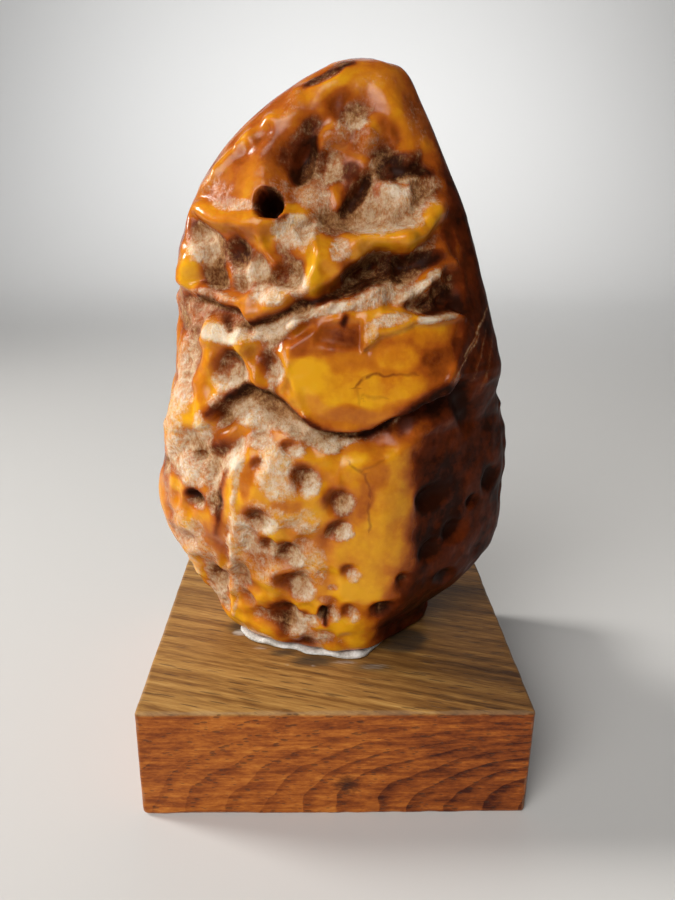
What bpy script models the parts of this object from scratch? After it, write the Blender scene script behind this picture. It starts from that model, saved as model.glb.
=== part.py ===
"""A raw amber lump standing on a planed oak block, held by a bead of dried white glue.

Metres, +Z up. The origin is the middle of the block's underside, +Y runs away from the
lump's best side, and +X is to the right of somebody who looks at that side.
Run with: blender --background --python part.py
"""
import bmesh
import bpy
import numpy as np

MM = 0.001

# ---- driving dimensions ---------------------------------------------------------------
BLOCK_WIDTH = 80.0 * MM          # square oak block
BLOCK_HEIGHT = 25.5 * MM
BLOCK_EDGE = 1.0 * MM            # worn edges
GAP = 0.3 * MM                   # between pieces that touch
GLUE_THICK = 0.7 * MM            # the pad of glue under the lump
FOOT = BLOCK_HEIGHT + GLUE_THICK + 2 * GAP

LUMP_COLUMNS = 260               # columns of faces round the lump, before it is thinned
LUMP_RINGS = 170                 # rings of faces from its foot's middle to its top
UNDERSIDE_RINGS = 4              # of those, the rings on its flat underside
FRONT_CROWDING = 0.40            # columns stand closer together in front
LUMP_KEPT = 0.104                # share of the faces that thinning leaves
GLUE_COLUMNS = 48

# The tables below are in millimetres and degrees. Heights are above the lump's foot. A
# turn is counted round the lump from its front (0) by its right (90) and back (180).

# height, left, right, front, back: how far the lump reaches
STATIONS = (
    (0.0, -25.0, 23.0, -20.5, 14.0),
    (4.2, -28.5, 23.5, -24.0, 17.0),
    (11.2, -33.0, 32.0, -27.0, 19.5),
    (19.2, -36.5, 38.5, -29.0, 21.0),
    (31.2, -39.4, 39.7, -30.5, 22.0),
    (45.2, -39.2, 39.0, -30.0, 22.0),
    (61.2, -34.0, 35.0, -28.0, 21.5),
    (77.2, -34.2, 30.7, -25.0, 20.0),
    (91.2, -31.5, 26.5, -21.5, 17.5),
    (103.2, -24.5, 21.0, -16.5, 14.0),
    (112.2, -15.0, 16.5, -12.5, 9.5),
    (118.2, -4.5, 12.5, -8.0, 4.5),
    (121.0, 5.0, 5.5, -1.5, -1.5),
)

# turn, and how near the middle a flat stands at each of the facet heights
FACET_HEIGHTS = (0.0, 33.0, 51.0, 63.0, 93.0, 121.0)
FACETS = (
    (0, (0.96, 0.93, 0.93, 0.93, 0.93, 0.93)),
    (52, (0.88, 0.79, 0.82, 1.03, 1.02, 1.02)),
    (97, (0.98, 0.98, 0.98, 0.98, 0.97, 0.97)),
    (148, (0.97, 0.99, 0.98, 0.98, 0.97, 0.97)),
    (188, (0.93, 0.93, 0.93, 0.92, 0.93, 0.93)),
    (232, (0.97, 0.95, 0.97, 0.98, 0.97, 0.97)),
    (276, (0.98, 0.98, 0.98, 0.98, 0.98, 0.98)),
    (318, (0.84, 0.91, 0.94, 0.96, 0.97, 0.97)),
)
FACET_CRISPNESS = 14.0

# turn, height of the crease, depth of the cut below it
UPPER_LEDGE = (
    (0, 79.5, 3.6), (7, 83.3, 5.0), (18, 85.8, 5.6), (28, 86.3, 4.6), (48, 91.3, 2.2),
    (66, 93.0, 0.8), (120, 85.0, 0.6), (180, 79.0, 2.4), (225, 84.0, 1.8),
    (265, 79.0, 0.6), (288, 78.4, 0.8), (300, 76.2, 2.2), (314, 75.5, 2.8),
    (324, 74.8, 3.0), (329, 71.8, 3.4), (336, 74.0, 3.2), (349, 77.3, 2.8),
)
LOWER_LEDGE = (
    (1, 52.6, 4.2), (16, 55.1, 4.4), (26, 58.0, 4.2), (40, 60.1, 3.2), (55, 61.0, 0.8),
    (110, 57.0, 0.4), (160, 51.0, 1.8), (205, 57.0, 2.2), (250, 49.0, 0.5),
    (290, 48.0, 0.3), (310, 52.0, 1.6), (314, 54.3, 2.6), (322, 59.1, 3.4),
    (328, 60.7, 3.6), (334, 60.3, 3.4), (342, 58.0, 3.2), (350, 54.2, 3.6),
)
LEDGE_REACH = 7.5                # how far down the cut below a crease fades out
LEDGE_LIP = 1.1                  # how far a crease is from full depth to none

# The rest is on the front: x to the right and height, as seen from straight ahead.
# The outline of the glossy chipped face
CHIP = (
    (-9.8, 68.2), (-6.2, 71.4), (-4.0, 72.9), (0.1, 74.0), (2.9, 73.7), (5.7, 72.2),
    (14.9, 73.0), (23.3, 72.7), (24.3, 71.6), (23.7, 68.1), (22.6, 62.5), (20.6, 60.3),
    (14.8, 58.4), (10.8, 56.6), (8.9, 54.8), (5.1, 52.9), (1.3, 52.8), (-2.5, 53.7),
    (-6.4, 56.1), (-9.3, 59.1), (-9.8, 62.8),
)
CHIP_LEVEL = 0.2
# The calm polished cheek that runs down to the foot and round to the right
CHEEK = (
    (0.5, 51.0), (14.5, 57.0), (21.0, 59.0), (40.0, 63.0), (40.0, 3.0), (2.0, -1.0),
    (2.0, 7.0), (-1.0, 25.0), (1.5, 43.0),
)
CHEEK_CALM = 0.75                # share of the lumpiness that is polished away
HEAD = (84.0, 93.0)              # the head is worn as smooth from one to the other height
# outline, level, soft width of its edge
HOLLOWS = (
    (((-10.5, 94.0), (-11.0, 102.0), (-8.0, 109.0), (-2.0, 113.0), (5.0, 112.5),
      (10.5, 108.0), (16.0, 102.0), (18.5, 97.0), (17.5, 92.0), (10.0, 90.7),
      (2.0, 90.2), (-4.0, 89.2)), -4.2, 5.0),
    (((-28.5, 90.7), (-15.0, 89.4), (-10.0, 90.7), (-6.0, 91.7), (-5.5, 86.2),
      (-7.8, 78.7), (-14.0, 77.7), (-21.0, 78.2), (-29.0, 79.7)), -2.4, 2.6),
    (((11.0, 84.7), (19.0, 86.7), (24.0, 81.2), (24.5, 74.0), (15.0, 74.4),
      (9.0, 75.7)), -3.2, 2.0),
)
# x and height of both ends, half-width, how far it stands out
RIDGES = (
    (-28.0, 96.5, -15.5, 93.2, 1.6, -0.6),
    (-27.0, 91.8, -15.5, 91.6, 1.8, 1.0),
    (5.5, 106.2, -2.0, 97.7, 2.2, 2.6),
    (3.0, 88.4, 12.0, 89.2, 1.9, 1.2),
    (12.0, 89.2, 18.5, 93.7, 1.8, 1.4),
    (-5.6, 86.2, -6.6, 78.2, 1.5, 1.6),
    (-5.6, 86.2, 2.0, 83.7, 2.4, 1.2),
    (-32.0, 85.7, -31.5, 78.7, 1.8, 1.2),
    (-15.0, 88.7, -12.5, 83.7, 1.0, 1.2),
    (-26.0, 70.2, -17.0, 69.2, 1.7, 2.4),
    (-17.0, 69.2, -9.2, 73.8, 1.5, 2.2),
    (-9.2, 73.8, -1.8, 76.8, 1.3, 2.2),
    (-1.8, 76.8, 7.0, 79.2, 1.3, 1.8),
    (12.8, 81.7, 12.6, 76.7, 1.2, 2.0),
    (14.3, 73.9, 23.3, 73.1, 0.9, 2.4),
    (-25.6, 68.7, -26.2, 55.2, 1.5, 1.4),
    (-18.0, 69.2, -16.8, 62.2, 1.5, 1.2),
    (-11.0, 70.2, -10.5, 61.2, 0.9, 1.0),
    (-20.0, 42.2, -20.8, 6.2, 0.9, 0.8),
)
# x, height, across, tall, tilt to the right, depth
PITS = (
    (-6.6, 102.8, 3.4, 9.0, 35, 3.0), (1.3, 110.6, 6.0, 4.5, 0, 1.4),
    (13.0, 100.2, 9.0, 4.0, -12, 3.2), (0.9, 94.8, 3.2, 6.0, 10, 2.6),
    (-19.4, 86.1, 5.5, 5.5, 0, 2.4), (-26.5, 85.2, 4.0, 7.0, 0, 1.2),
    (5.5, 82.4, 9.0, 3.6, 15, 1.6), (16.7, 76.1, 4.0, 3.4, 0, 2.6),
    (19.5, 79.2, 3.0, 3.0, 0, 1.6), (-21.3, 64.8, 5.6, 7.0, 0, 2.6),
    (-13.4, 66.1, 4.2, 5.2, 0, 1.8), (-29.0, 59.2, 3.4, 14.0, 4, 1.0),
    (-23.6, 48.2, 4.4, 9.0, 40, 2.2), (-28.7, 45.4, 2.2, 2.2, 0, 1.8),
    (-14.2, 45.2, 4.6, 5.6, 15, 2.2), (-9.7, 49.8, 3.6, 2.8, 0, 1.6),
    (-6.4, 43.8, 5.0, 6.0, 30, 2.2), (0.6, 39.8, 5.6, 5.6, 20, 2.8),
    (0.4, 33.4, 4.2, 3.8, 0, 2.0), (-28.6, 36.8, 4.6, 3.8, -20, 3.0),
    (-14.4, 34.4, 4.4, 4.4, 0, 2.8), (-13.6, 28.8, 3.4, 4.4, 0, 1.8),
    (-9.6, 27.8, 4.6, 5.4, 35, 2.6), (-8.6, 21.0, 6.0, 6.4, 15, 2.4),
    (-24.6, 17.1, 3.4, 6.6, 25, 2.8), (2.4, 23.4, 2.2, 3.2, 0, 2.0),
    (-0.4, 19.8, 2.2, 1.8, 0, 1.2), (-9.6, 11.2, 9.0, 7.6, 0, 2.8),
    (-2.8, 12.4, 2.0, 4.6, 0, 4.2), (3.2, 12.8, 4.0, 4.6, 0, 1.8),
    (19.4, 37.4, 6.0, 5.2, -15, 2.6), (34.2, 36.6, 4.5, 6.0, 0, 2.0),
    (25.4, 27.6, 5.2, 4.2, 15, 2.4), (20.2, 25.0, 4.2, 5.0, 0, 1.8),
    (13.8, 20.6, 3.0, 3.0, 0, 1.4), (9.6, 13.0, 4.6, 4.0, 30, 2.6),
    (29.6, 32.8, 3.2, 3.4, 0, 1.2), (26.6, 53.2, 4.0, 9.0, -15, 1.6),
    (24.0, 17.2, 4.5, 4.5, 0, 1.6), (-18.4, 103.6, 4.4, 3.6, 30, 0.7),
    (-14.6, 106.8, 4.2, 3.6, 30, 0.6),
)
HOLE = (-13.3, 94.6, 5.9, 6.4, 7.0)      # x, height, across, tall, depth
WANDER = ((6.0, 1.3), (2.8, 0.5))        # size and reach of the drawn outlines' straying
PROUD = 1.5                      # nothing stands out of the plain lump by more than this
SWELLS = ((14.0, 1.6), (6.5, 0.9))       # size and height of the lumpiness
WILD_PITS = (9.0, 1.6)           # size and depth of the scattered pits off the front
SEED = 7
LATTICE = 24                     # random values along each side of the noise block

# turn, how far the glue is squeezed out beyond the foot
GLUE_SPREAD = (
    (0, 1.4), (15, 1.8), (28, 1.3), (40, 0.6), (60, -1.2), (180, -2.5), (270, -1.8),
    (300, -0.6), (312, 0.7), (325, 1.2), (338, 0.8), (350, 1.6),
)
# share of the spread outline, height in the pad's thickness, from underneath to the top
GLUE_PROFILE = ((0.0, 0.0), (0.88, 0.0), (0.98, 0.12), (1.0, 0.5), (0.98, 0.88), (0.88, 1.0), (0.0, 1.0))


# ---- working with numbers -------------------------------------------------------------
def ease(low, high, value):
    """0 up to low, 1 from high on, and a smooth S between them."""
    share = np.clip((value - low) / (high - low), 0.0, 1.0)
    return share * share * (3.0 - 2.0 * share)


def round_the_lump(turn, table, column):
    """A table's column read at each turn, closed from 360 back to 0."""
    rows = np.array(sorted(table), dtype=float)
    return np.interp(turn, rows[:, 0], rows[:, column], period=360.0)


def cloud(points, size, lattice):
    """Smooth noise from -1 to 1, in cells of the given size."""
    grid = points / size
    cell = np.floor(grid).astype(int)
    part = ease(0.0, 1.0, grid - cell)
    total = np.zeros(points.shape[:-1])
    for corner in np.ndindex(2, 2, 2):
        share = np.prod(np.where(corner, part, 1.0 - part), axis=-1)
        index = (cell + corner) % LATTICE
        total += share * lattice[index[..., 0], index[..., 1], index[..., 2]]
    return total


def nearest_seed(points, size, lattice):
    """Distance, in cells, to the nearest of the seeds strewn one in each cell."""
    grid = points / size
    home = np.floor(grid).astype(int)
    best = np.full(points.shape[:-1], 9.0)
    for step in np.ndindex(3, 3, 3):
        cell = home + np.array(step) - 1
        seed = np.stack([lattice[tuple(((cell + shift) % LATTICE).transpose(2, 0, 1))]
                         for shift in ((0, 0, 0), (5, 9, 2), (11, 3, 7))], axis=-1)
        best = np.minimum(best, np.linalg.norm(cell + 0.5 + 0.42 * seed - grid, axis=-1))
    return best


def inside(x, height, outline, soft):
    """1 inside a closed outline and 0 outside it, eased across its edge."""
    corners = np.array(outline)
    gap = np.full(x.shape, 1e9)
    within = np.zeros(x.shape, bool)
    for (x1, h1), (x2, h2) in zip(corners, np.roll(corners, -1, axis=0)):
        along = ((x - x1) * (x2 - x1) + (height - h1) * (h2 - h1)) / ((x2 - x1) ** 2 + (h2 - h1) ** 2)
        along = np.clip(along, 0.0, 1.0)
        gap = np.minimum(gap, np.hypot(x - x1 - along * (x2 - x1), height - h1 - along * (h2 - h1)))
        if h1 != h2:
            within ^= ((h1 > height) != (h2 > height)) & (x < x1 + (x2 - x1) * (height - h1) / (h2 - h1))
    return ease(-soft / 2, soft / 2, np.where(within, gap, -gap))


def stroke(x, height, x1, h1, x2, h2, half_width):
    """1 on a line and fading on both sides of it."""
    along = ((x - x1) * (x2 - x1) + (height - h1) * (h2 - h1)) / ((x2 - x1) ** 2 + (h2 - h1) ** 2)
    along = np.clip(along, 0.0, 1.0)
    gap = np.hypot(x - x1 - along * (x2 - x1), height - h1 - along * (h2 - h1))
    return np.exp(-(gap / half_width) ** 2)


def scoop(x, height, pit_x, pit_height, across, tall, tilt):
    """1 on a pit's floor and 0 outside it; the floor dips towards its upper left."""
    angle = np.radians(tilt)
    right, up = x - pit_x, height - pit_height
    far = np.hypot((right * np.cos(angle) - up * np.sin(angle)) / (across / 2),
                   (right * np.sin(angle) + up * np.cos(angle)) / (tall / 2))
    return (1.0 - ease(0.35, 1.15, far)) * (1.0 + 0.7 * (up - right) / (across + tall))


# ---- the lump's form ------------------------------------------------------------------
def reaches(rise):
    """The stations joined by a smooth curve, in even steps along the lump's side."""
    rows = np.array(STATIONS)
    last = len(rows) - 1

    def curve(step):
        first = np.clip(np.floor(step).astype(int), 0, last - 1)
        t = (step - first)[..., None]
        a, b = rows[np.maximum(first - 1, 0)], rows[first]
        c, d = rows[first + 1], rows[np.minimum(first + 2, last)]
        return 0.5 * (2 * b + (c - a) * t + (2 * a - 5 * b + 4 * c - d) * t ** 2
                      + (3 * b - a - 3 * c + d) * t ** 3)

    steps = np.linspace(0.0, last, 400)
    side = curve(steps)
    radius = (side[:, 2] - side[:, 1] + side[:, 4] - side[:, 3]) / 4
    travel = np.concatenate([[0.0], np.cumsum(np.hypot(np.diff(side[:, 0]), np.diff(radius)))])
    return curve(np.interp(rise * travel[-1], travel, steps))


def form(turn, rise):
    """The plain lump: an oval at each height, flattened by the facets."""
    reach = reaches(rise)
    height, left, right, front, back = (reach[..., i] for i in range(5))
    press = np.zeros(turn.shape)
    for heading, distances in FACETS:
        near = np.interp(height, FACET_HEIGHTS, distances)
        press += (np.maximum(0.0, np.cos(np.radians(turn - heading))) / near) ** FACET_CRISPNESS
    out = press ** (-1.0 / FACET_CRISPNESS)
    angle = np.radians(turn)
    return np.stack([(left + right) / 2 + (right - left) / 2 * out * np.sin(angle),
                     (front + back) / 2 - (back - front) / 2 * out * np.cos(angle),
                     height], axis=-1)


def outward(turn, rise):
    """The direction straight out of the plain lump."""
    side = form(turn + 1.0, rise) - form(turn - 1.0, rise)
    up = form(turn, np.minimum(rise + 0.004, 1.0)) - form(turn, np.maximum(rise - 0.004, 0.0))
    normal = np.cross(side, up)
    return normal / (np.linalg.norm(normal, axis=-1, keepdims=True) + 1e-9)


def relief(point, normal, turn, lattice):
    """How far the skin stands out of the plain lump, in millimetres."""
    front = ease(0.12, 0.40, -normal[..., 1])
    x = point[..., 0] + sum(far * cloud(point, size, lattice) for size, far in WANDER)
    height = point[..., 2] + sum(far * cloud(point + 40.0, size, lattice) for size, far in WANDER)
    chip = inside(point[..., 0], point[..., 2], CHIP, 0.8) * front
    sunk = [inside(x, height, outline, soft) * front for outline, _, soft in HOLLOWS]
    smooth = np.maximum(inside(x, height, CHEEK, 3.0) * front,
                        ease(*HEAD, height) * (1.0 - np.maximum.reduce(sunk)))
    calm = np.maximum(chip, CHEEK_CALM * smooth)

    out = sum(tall * cloud(point + size, size, lattice) for size, tall in SWELLS) * (1.0 - calm)
    size, depth = WILD_PITS
    out -= depth * (1.0 - ease(0.15, 0.42, nearest_seed(point, size, lattice))) * (1.0 - front)
    for ledge in (UPPER_LEDGE, LOWER_LEDGE):
        above = height - round_the_lump(turn, ledge, 1)
        cut = ease(LEDGE_LIP, -LEDGE_LIP, above) * ease(-LEDGE_REACH, -LEDGE_LIP, above)
        out -= round_the_lump(turn, ledge, 2) * cut
    for share, (_, level, _) in zip(sunk, HOLLOWS):
        out += level * share
    for *line, out_by in RIDGES:
        out += out_by * stroke(x, height, *line) * front
    for *pit, depth in PITS:
        out -= depth * scoop(x, height, *pit) * front
    out = np.where(out > 0.0, PROUD * np.tanh(out / PROUD), out)
    out += (CHIP_LEVEL - out) * chip

    hole_x, hole_height, across, tall, depth = HOLE
    far = (np.abs((point[..., 0] - hole_x) * 2 / across) ** 2.6
           + np.abs((point[..., 2] - hole_height) * 2 / tall) ** 2.6) ** (1 / 2.6)
    return out - depth * (1.0 - ease(0.8, 1.15, far)) * front


def skin(turn, rise):
    """The finished skin: the plain lump with its relief, which fades out at foot and top."""
    lattice = np.random.default_rng(SEED).random((LATTICE,) * 3) * 2.0 - 1.0
    point, normal = form(turn, rise), outward(turn, rise)
    out = relief(point, normal, turn % 360.0, lattice) * ease(0.0, 0.03, rise) * ease(1.0, 0.95, rise)
    return point + normal * out[..., None]


# ---- pieces ---------------------------------------------------------------------------
def finish(name, colour, roughness):
    """A plain material for a piece."""
    material = bpy.data.materials.new(name)
    material.use_nodes = True
    shader = material.node_tree.nodes["Principled BSDF"]
    shader.inputs["Base Color"].default_value = (*colour, 1.0)
    shader.inputs["Roughness"].default_value = roughness
    shader.inputs["Metallic"].default_value = 0.0
    return material


def globe(columns, rings):
    """A closed globe, with each of its points' turn in degrees and ring counted from below."""
    globe_mesh = bmesh.new()
    bmesh.ops.create_uvsphere(globe_mesh, u_segments=columns, v_segments=rings, radius=1.0)
    where = np.array([vertex.co[:] for vertex in globe_mesh.verts])
    turn = np.degrees(np.arctan2(where[:, 0], -where[:, 1])) % 360.0
    ring = np.arccos(np.clip(-where[:, 2], -1.0, 1.0)) / np.pi * rings
    return globe_mesh, turn[None, :], ring[None, :]


def place(name, globe_mesh, points, collection, material, location):
    """The globe with its points moved, as a smooth-shaded object."""
    for vertex, point in zip(globe_mesh.verts, points * MM):
        vertex.co = point
    mesh = bpy.data.meshes.new(name)
    globe_mesh.to_mesh(mesh)
    globe_mesh.free()
    mesh.shade_smooth()
    mesh.materials.append(material)
    piece = bpy.data.objects.new(name, mesh)
    piece.location = location
    collection.objects.link(piece)
    return piece


def make_amber(collection):
    """The lump: a flat underside, then the skin from the foot's edge to the top."""
    globe_mesh, turn, ring = globe(LUMP_COLUMNS, LUMP_RINGS)
    turn = turn - FRONT_CROWDING * np.degrees(np.sin(np.radians(turn)))
    rise = np.clip((ring - UNDERSIDE_RINGS) / (LUMP_RINGS - UNDERSIDE_RINGS), 0.0, 1.0)
    middle = np.array([0.0, -3.0, 0.0])
    share = np.clip(ring / UNDERSIDE_RINGS, 0.0, 1.0)[..., None]
    points = middle + (skin(turn, rise) - middle) * share
    material = finish("amber", (0.62, 0.25, 0.02), 0.3)
    lump = place("amber", globe_mesh, points[0], collection, material, (0.0, 0.0, FOOT))
    thinned = lump.modifiers.new("thinned", "DECIMATE")
    thinned.ratio = LUMP_KEPT
    thinned.use_collapse_triangulate = True
    return lump


def make_oak_base(collection):
    """The planed block, with its edges worn round."""
    bpy.ops.mesh.primitive_cube_add(size=1.0, location=(0.0, 0.0, BLOCK_HEIGHT / 2))
    block = bpy.context.object
    block.name = block.data.name = "oak_base"
    block.scale = (BLOCK_WIDTH, BLOCK_WIDTH, BLOCK_HEIGHT)
    bpy.ops.object.transform_apply(location=False, rotation=False, scale=True)
    worn = block.modifiers.new("worn_edges", "BEVEL")
    worn.width = BLOCK_EDGE
    worn.segments = 3
    worn.limit_method = "ANGLE"
    block.data.materials.append(finish("oak", (0.33, 0.17, 0.06), 0.55))
    for owner in list(block.users_collection):
        owner.objects.unlink(block)
    collection.objects.link(block)
    return block


def make_glue(collection):
    """The pad under the lump: its foot's outline, spread out in front as a bead."""
    rings = len(GLUE_PROFILE) - 1
    globe_mesh, turn, ring = globe(GLUE_COLUMNS, rings)
    rim = form(turn, np.zeros(turn.shape))
    spread = round_the_lump(turn, GLUE_SPREAD, 1)
    rim[..., 0] += spread * np.sin(np.radians(turn))
    rim[..., 1] -= spread * np.cos(np.radians(turn))
    profile = np.array(GLUE_PROFILE)[np.rint(ring).astype(int)]
    points = np.concatenate([rim[..., :2] * profile[..., :1], profile[..., 1:] * GLUE_THICK / MM], axis=-1)
    material = finish("dried_glue", (0.78, 0.76, 0.70), 0.6)
    return place("glue", globe_mesh, points[0], collection, material, (0.0, 0.0, BLOCK_HEIGHT + GAP))


def main():
    for old in list(bpy.data.objects):
        bpy.data.objects.remove(old)
    collection = bpy.data.collections.new("raw_amber_on_oak")
    bpy.context.scene.collection.children.link(collection)
    make_oak_base(collection)
    make_glue(collection)
    make_amber(collection)


main()
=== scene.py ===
# %% [markdown]
# # A raw amber lump on an oak block
#
# The object is one piece of raw amber, about 121 mm tall. It stands on a planed oak block, 80 mm square, and
# dried white glue holds it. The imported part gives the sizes, and this lesson gives the looks: the pitted skin
# of the lump, its milky yellow to red-brown amber, the dusty tan crust in its hollows, the oak's rings and
# pores, and the glue squeezed out in front. Everything is in metres, +Z up; the tables are in millimetres.

import bpy
import numpy as np
from mathutils import Matrix, Vector


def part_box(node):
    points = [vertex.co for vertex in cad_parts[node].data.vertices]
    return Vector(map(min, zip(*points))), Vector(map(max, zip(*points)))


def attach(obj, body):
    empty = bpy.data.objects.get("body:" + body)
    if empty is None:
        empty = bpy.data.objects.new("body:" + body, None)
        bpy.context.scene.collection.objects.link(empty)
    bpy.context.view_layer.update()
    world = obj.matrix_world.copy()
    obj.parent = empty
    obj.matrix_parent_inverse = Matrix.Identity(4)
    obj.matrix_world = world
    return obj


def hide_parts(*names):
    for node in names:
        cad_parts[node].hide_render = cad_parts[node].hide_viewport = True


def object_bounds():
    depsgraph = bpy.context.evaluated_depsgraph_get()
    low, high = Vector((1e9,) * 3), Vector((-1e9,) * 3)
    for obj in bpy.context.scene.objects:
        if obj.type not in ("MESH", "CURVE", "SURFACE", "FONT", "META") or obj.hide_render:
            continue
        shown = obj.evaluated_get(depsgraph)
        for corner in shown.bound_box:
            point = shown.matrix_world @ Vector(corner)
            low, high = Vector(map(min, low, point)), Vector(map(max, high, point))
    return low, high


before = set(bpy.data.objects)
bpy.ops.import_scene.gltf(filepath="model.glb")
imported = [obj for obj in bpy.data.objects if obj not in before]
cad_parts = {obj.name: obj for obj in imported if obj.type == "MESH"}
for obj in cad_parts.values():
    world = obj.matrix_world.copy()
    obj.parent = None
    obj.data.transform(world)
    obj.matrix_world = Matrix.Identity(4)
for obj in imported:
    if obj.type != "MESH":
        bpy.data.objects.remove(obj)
cad_low, cad_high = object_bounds()
MM = 0.001
for name in ("oak_base", "glue", "amber"):
    low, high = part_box(name)
    print(name, "mm", [round(float(v) / MM, 1) for v in high - low])

# %% [markdown]
# ## Number tools
#
# Every surface here is worked out as whole arrays of points. These few formulas shape all of them: a smooth
# step, soft noise, strewn seeds, drawn outlines, lines and oval scoops.

# %% Steps and noise
SEED = 7
LATTICE = 24                     # random values along each side of the noise block
lattice = np.random.default_rng(SEED).random((LATTICE,) * 3) * 2.0 - 1.0


def ease(low, high, value):
    """0 up to low, 1 from high on, and between them the S curve: share squared times (3 - 2 share)."""
    share = np.clip((value - low) / (high - low), 0.0, 1.0)
    return share * share * (3.0 - 2.0 * share)


def cloud(points, size):
    """Smooth noise from -1 to 1: the lattice's eight values round a point, blended by the smooth step."""
    grid = points / size
    cell = np.floor(grid).astype(int)
    part = ease(0.0, 1.0, grid - cell)
    total = np.zeros(points.shape[:-1])
    for corner in np.ndindex(2, 2, 2):
        share = np.prod(np.where(corner, part, 1.0 - part), axis=-1)
        index = (cell + corner) % LATTICE
        total += share * lattice[index[..., 0], index[..., 1], index[..., 2]]
    return total


print("a step from 2 to 4 has come to", float(ease(2.0, 4.0, 2.5)), "at 2.5")

# %% Strewn seeds
def nearest_seed(points, size):
    """Distance, in cells, to the nearest of the seeds strewn one in each cell of the given size."""
    grid = points / size
    home = np.floor(grid).astype(int)
    best = np.full(points.shape[:-1], 9.0)
    for step in np.ndindex(3, 3, 3):
        cell = home + np.array(step) - 1
        seed = np.stack([lattice[tuple(((cell + shift) % LATTICE).transpose(2, 0, 1))]
                         for shift in ((0, 0, 0), (5, 9, 2), (11, 3, 7))], axis=-1)
        best = np.minimum(best, np.linalg.norm(cell + 0.5 + 0.42 * seed - grid, axis=-1))
    return best


# %% Outlines, lines and scoops
def line_gap(x, height, x1, h1, x2, h2):
    """How far a point is from a line between two ends: the distance to the nearest of the line's points."""
    along = ((x - x1) * (x2 - x1) + (height - h1) * (h2 - h1)) / ((x2 - x1) ** 2 + (h2 - h1) ** 2)
    along = np.clip(along, 0.0, 1.0)
    return np.hypot(x - x1 - along * (x2 - x1), height - h1 - along * (h2 - h1))


def stroke(x, height, x1, h1, x2, h2, half_width):
    """1 on a line, falling on both sides as e to the minus (distance over half-width) squared."""
    return np.exp(-(line_gap(x, height, x1, h1, x2, h2) / half_width) ** 2)


def inside(x, height, outline, soft):
    """1 inside a closed outline and 0 outside: the distance to its nearest side, eased over the soft width."""
    corners = np.array(outline)
    gap = np.full(x.shape, 1e9)
    within = np.zeros(x.shape, bool)
    for (x1, h1), (x2, h2) in zip(corners, np.roll(corners, -1, axis=0)):
        gap = np.minimum(gap, line_gap(x, height, x1, h1, x2, h2))
        if h1 != h2:
            within ^= ((h1 > height) != (h2 > height)) & (x < x1 + (x2 - x1) * (height - h1) / (h2 - h1))
    return ease(-soft / 2, soft / 2, np.where(within, gap, -gap))


def oval(x, height, middle_x, middle_height, across, tall, tilt):
    """How far out of a tilted oval a point is: 0 in its middle, 1 on its edge. Also right and up of it."""
    angle = np.radians(tilt)
    right, up = x - middle_x, height - middle_height
    far = np.hypot((right * np.cos(angle) - up * np.sin(angle)) / (across / 2),
                   (right * np.sin(angle) + up * np.cos(angle)) / (tall / 2))
    return far, right, up


def scoop(x, height, pit_x, pit_height, across, tall, tilt):
    """1 on a pit's floor, eased to 0 at its rim; the floor dips towards its upper left."""
    far, right, up = oval(x, height, pit_x, pit_height, across, tall, tilt)
    return (1.0 - ease(0.30, 1.30, far)) * (1.0 + (up - right) / (across + tall))


def round_the_lump(turn, table, column):
    """A table's column read at each turn by straight lines between rows, closed from 360 back to 0."""
    rows = np.array(sorted(table), dtype=float)
    return np.interp(turn, rows[:, 0], rows[:, column], period=360.0)


print("a line has come down to", round(float(stroke(0, 1, -5, 0, 5, 0, 1)), 2), "at its half-width")

# %% [markdown]
# ## The lump's plain form
#
# Raw amber is what is left of a lump of resin that the sea has rolled. This one is a blunt flame: it stands on
# a narrow foot, is widest a third of the way up, and leans to a rounded point on the right. The form is an
# oval at each height, pressed flat by eight broad facets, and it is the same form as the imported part's.

# %% Heights and facets
# height, left, right, front, back: how far the lump reaches
STATIONS = (
    (0, -25, 23, -20.5, 14),
    (4.2, -28.5, 23.5, -24, 17),
    (11.2, -33, 32, -27, 19.5),
    (19.2, -36.5, 38.5, -29, 21),
    (31.2, -39.4, 39.7, -30.5, 22),
    (45.2, -39.2, 39, -30, 22),
    (61.2, -34, 35, -28, 21.5),
    (77.2, -34.2, 30.7, -25, 20),
    (91.2, -31.5, 26.5, -21.5, 17.5),
    (103.2, -24.5, 21, -16.5, 14),
    (112.2, -15, 16.5, -12.5, 9.5),
    (118.2, -4.5, 12.5, -8, 4.5),
    (121, 5, 5.5, -1.5, -1.5),
)

# turn, and how near the middle a flat stands at each of the facet heights
FACET_HEIGHTS = (0, 33, 51, 63, 93, 121)
FACETS = (
    (0, (0.96, 0.93, 0.93, 0.93, 0.93, 0.93)),
    (52, (0.88, 0.79, 0.82, 1.03, 1.02, 1.02)),
    (97, (0.98, 0.98, 0.98, 0.98, 0.97, 0.97)),
    (148, (0.97, 0.99, 0.98, 0.98, 0.97, 0.97)),
    (188, (0.93, 0.93, 0.93, 0.92, 0.93, 0.93)),
    (232, (0.97, 0.95, 0.97, 0.98, 0.97, 0.97)),
    (276, (0.98, 0.98, 0.98, 0.98, 0.98, 0.98)),
    (318, (0.84, 0.91, 0.94, 0.96, 0.97, 0.97)),
)
FACET_CRISPNESS = 14.0           # higher makes the edges between the facets sharper
print(len(STATIONS), "heights and", len(FACETS), "facets")

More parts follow.
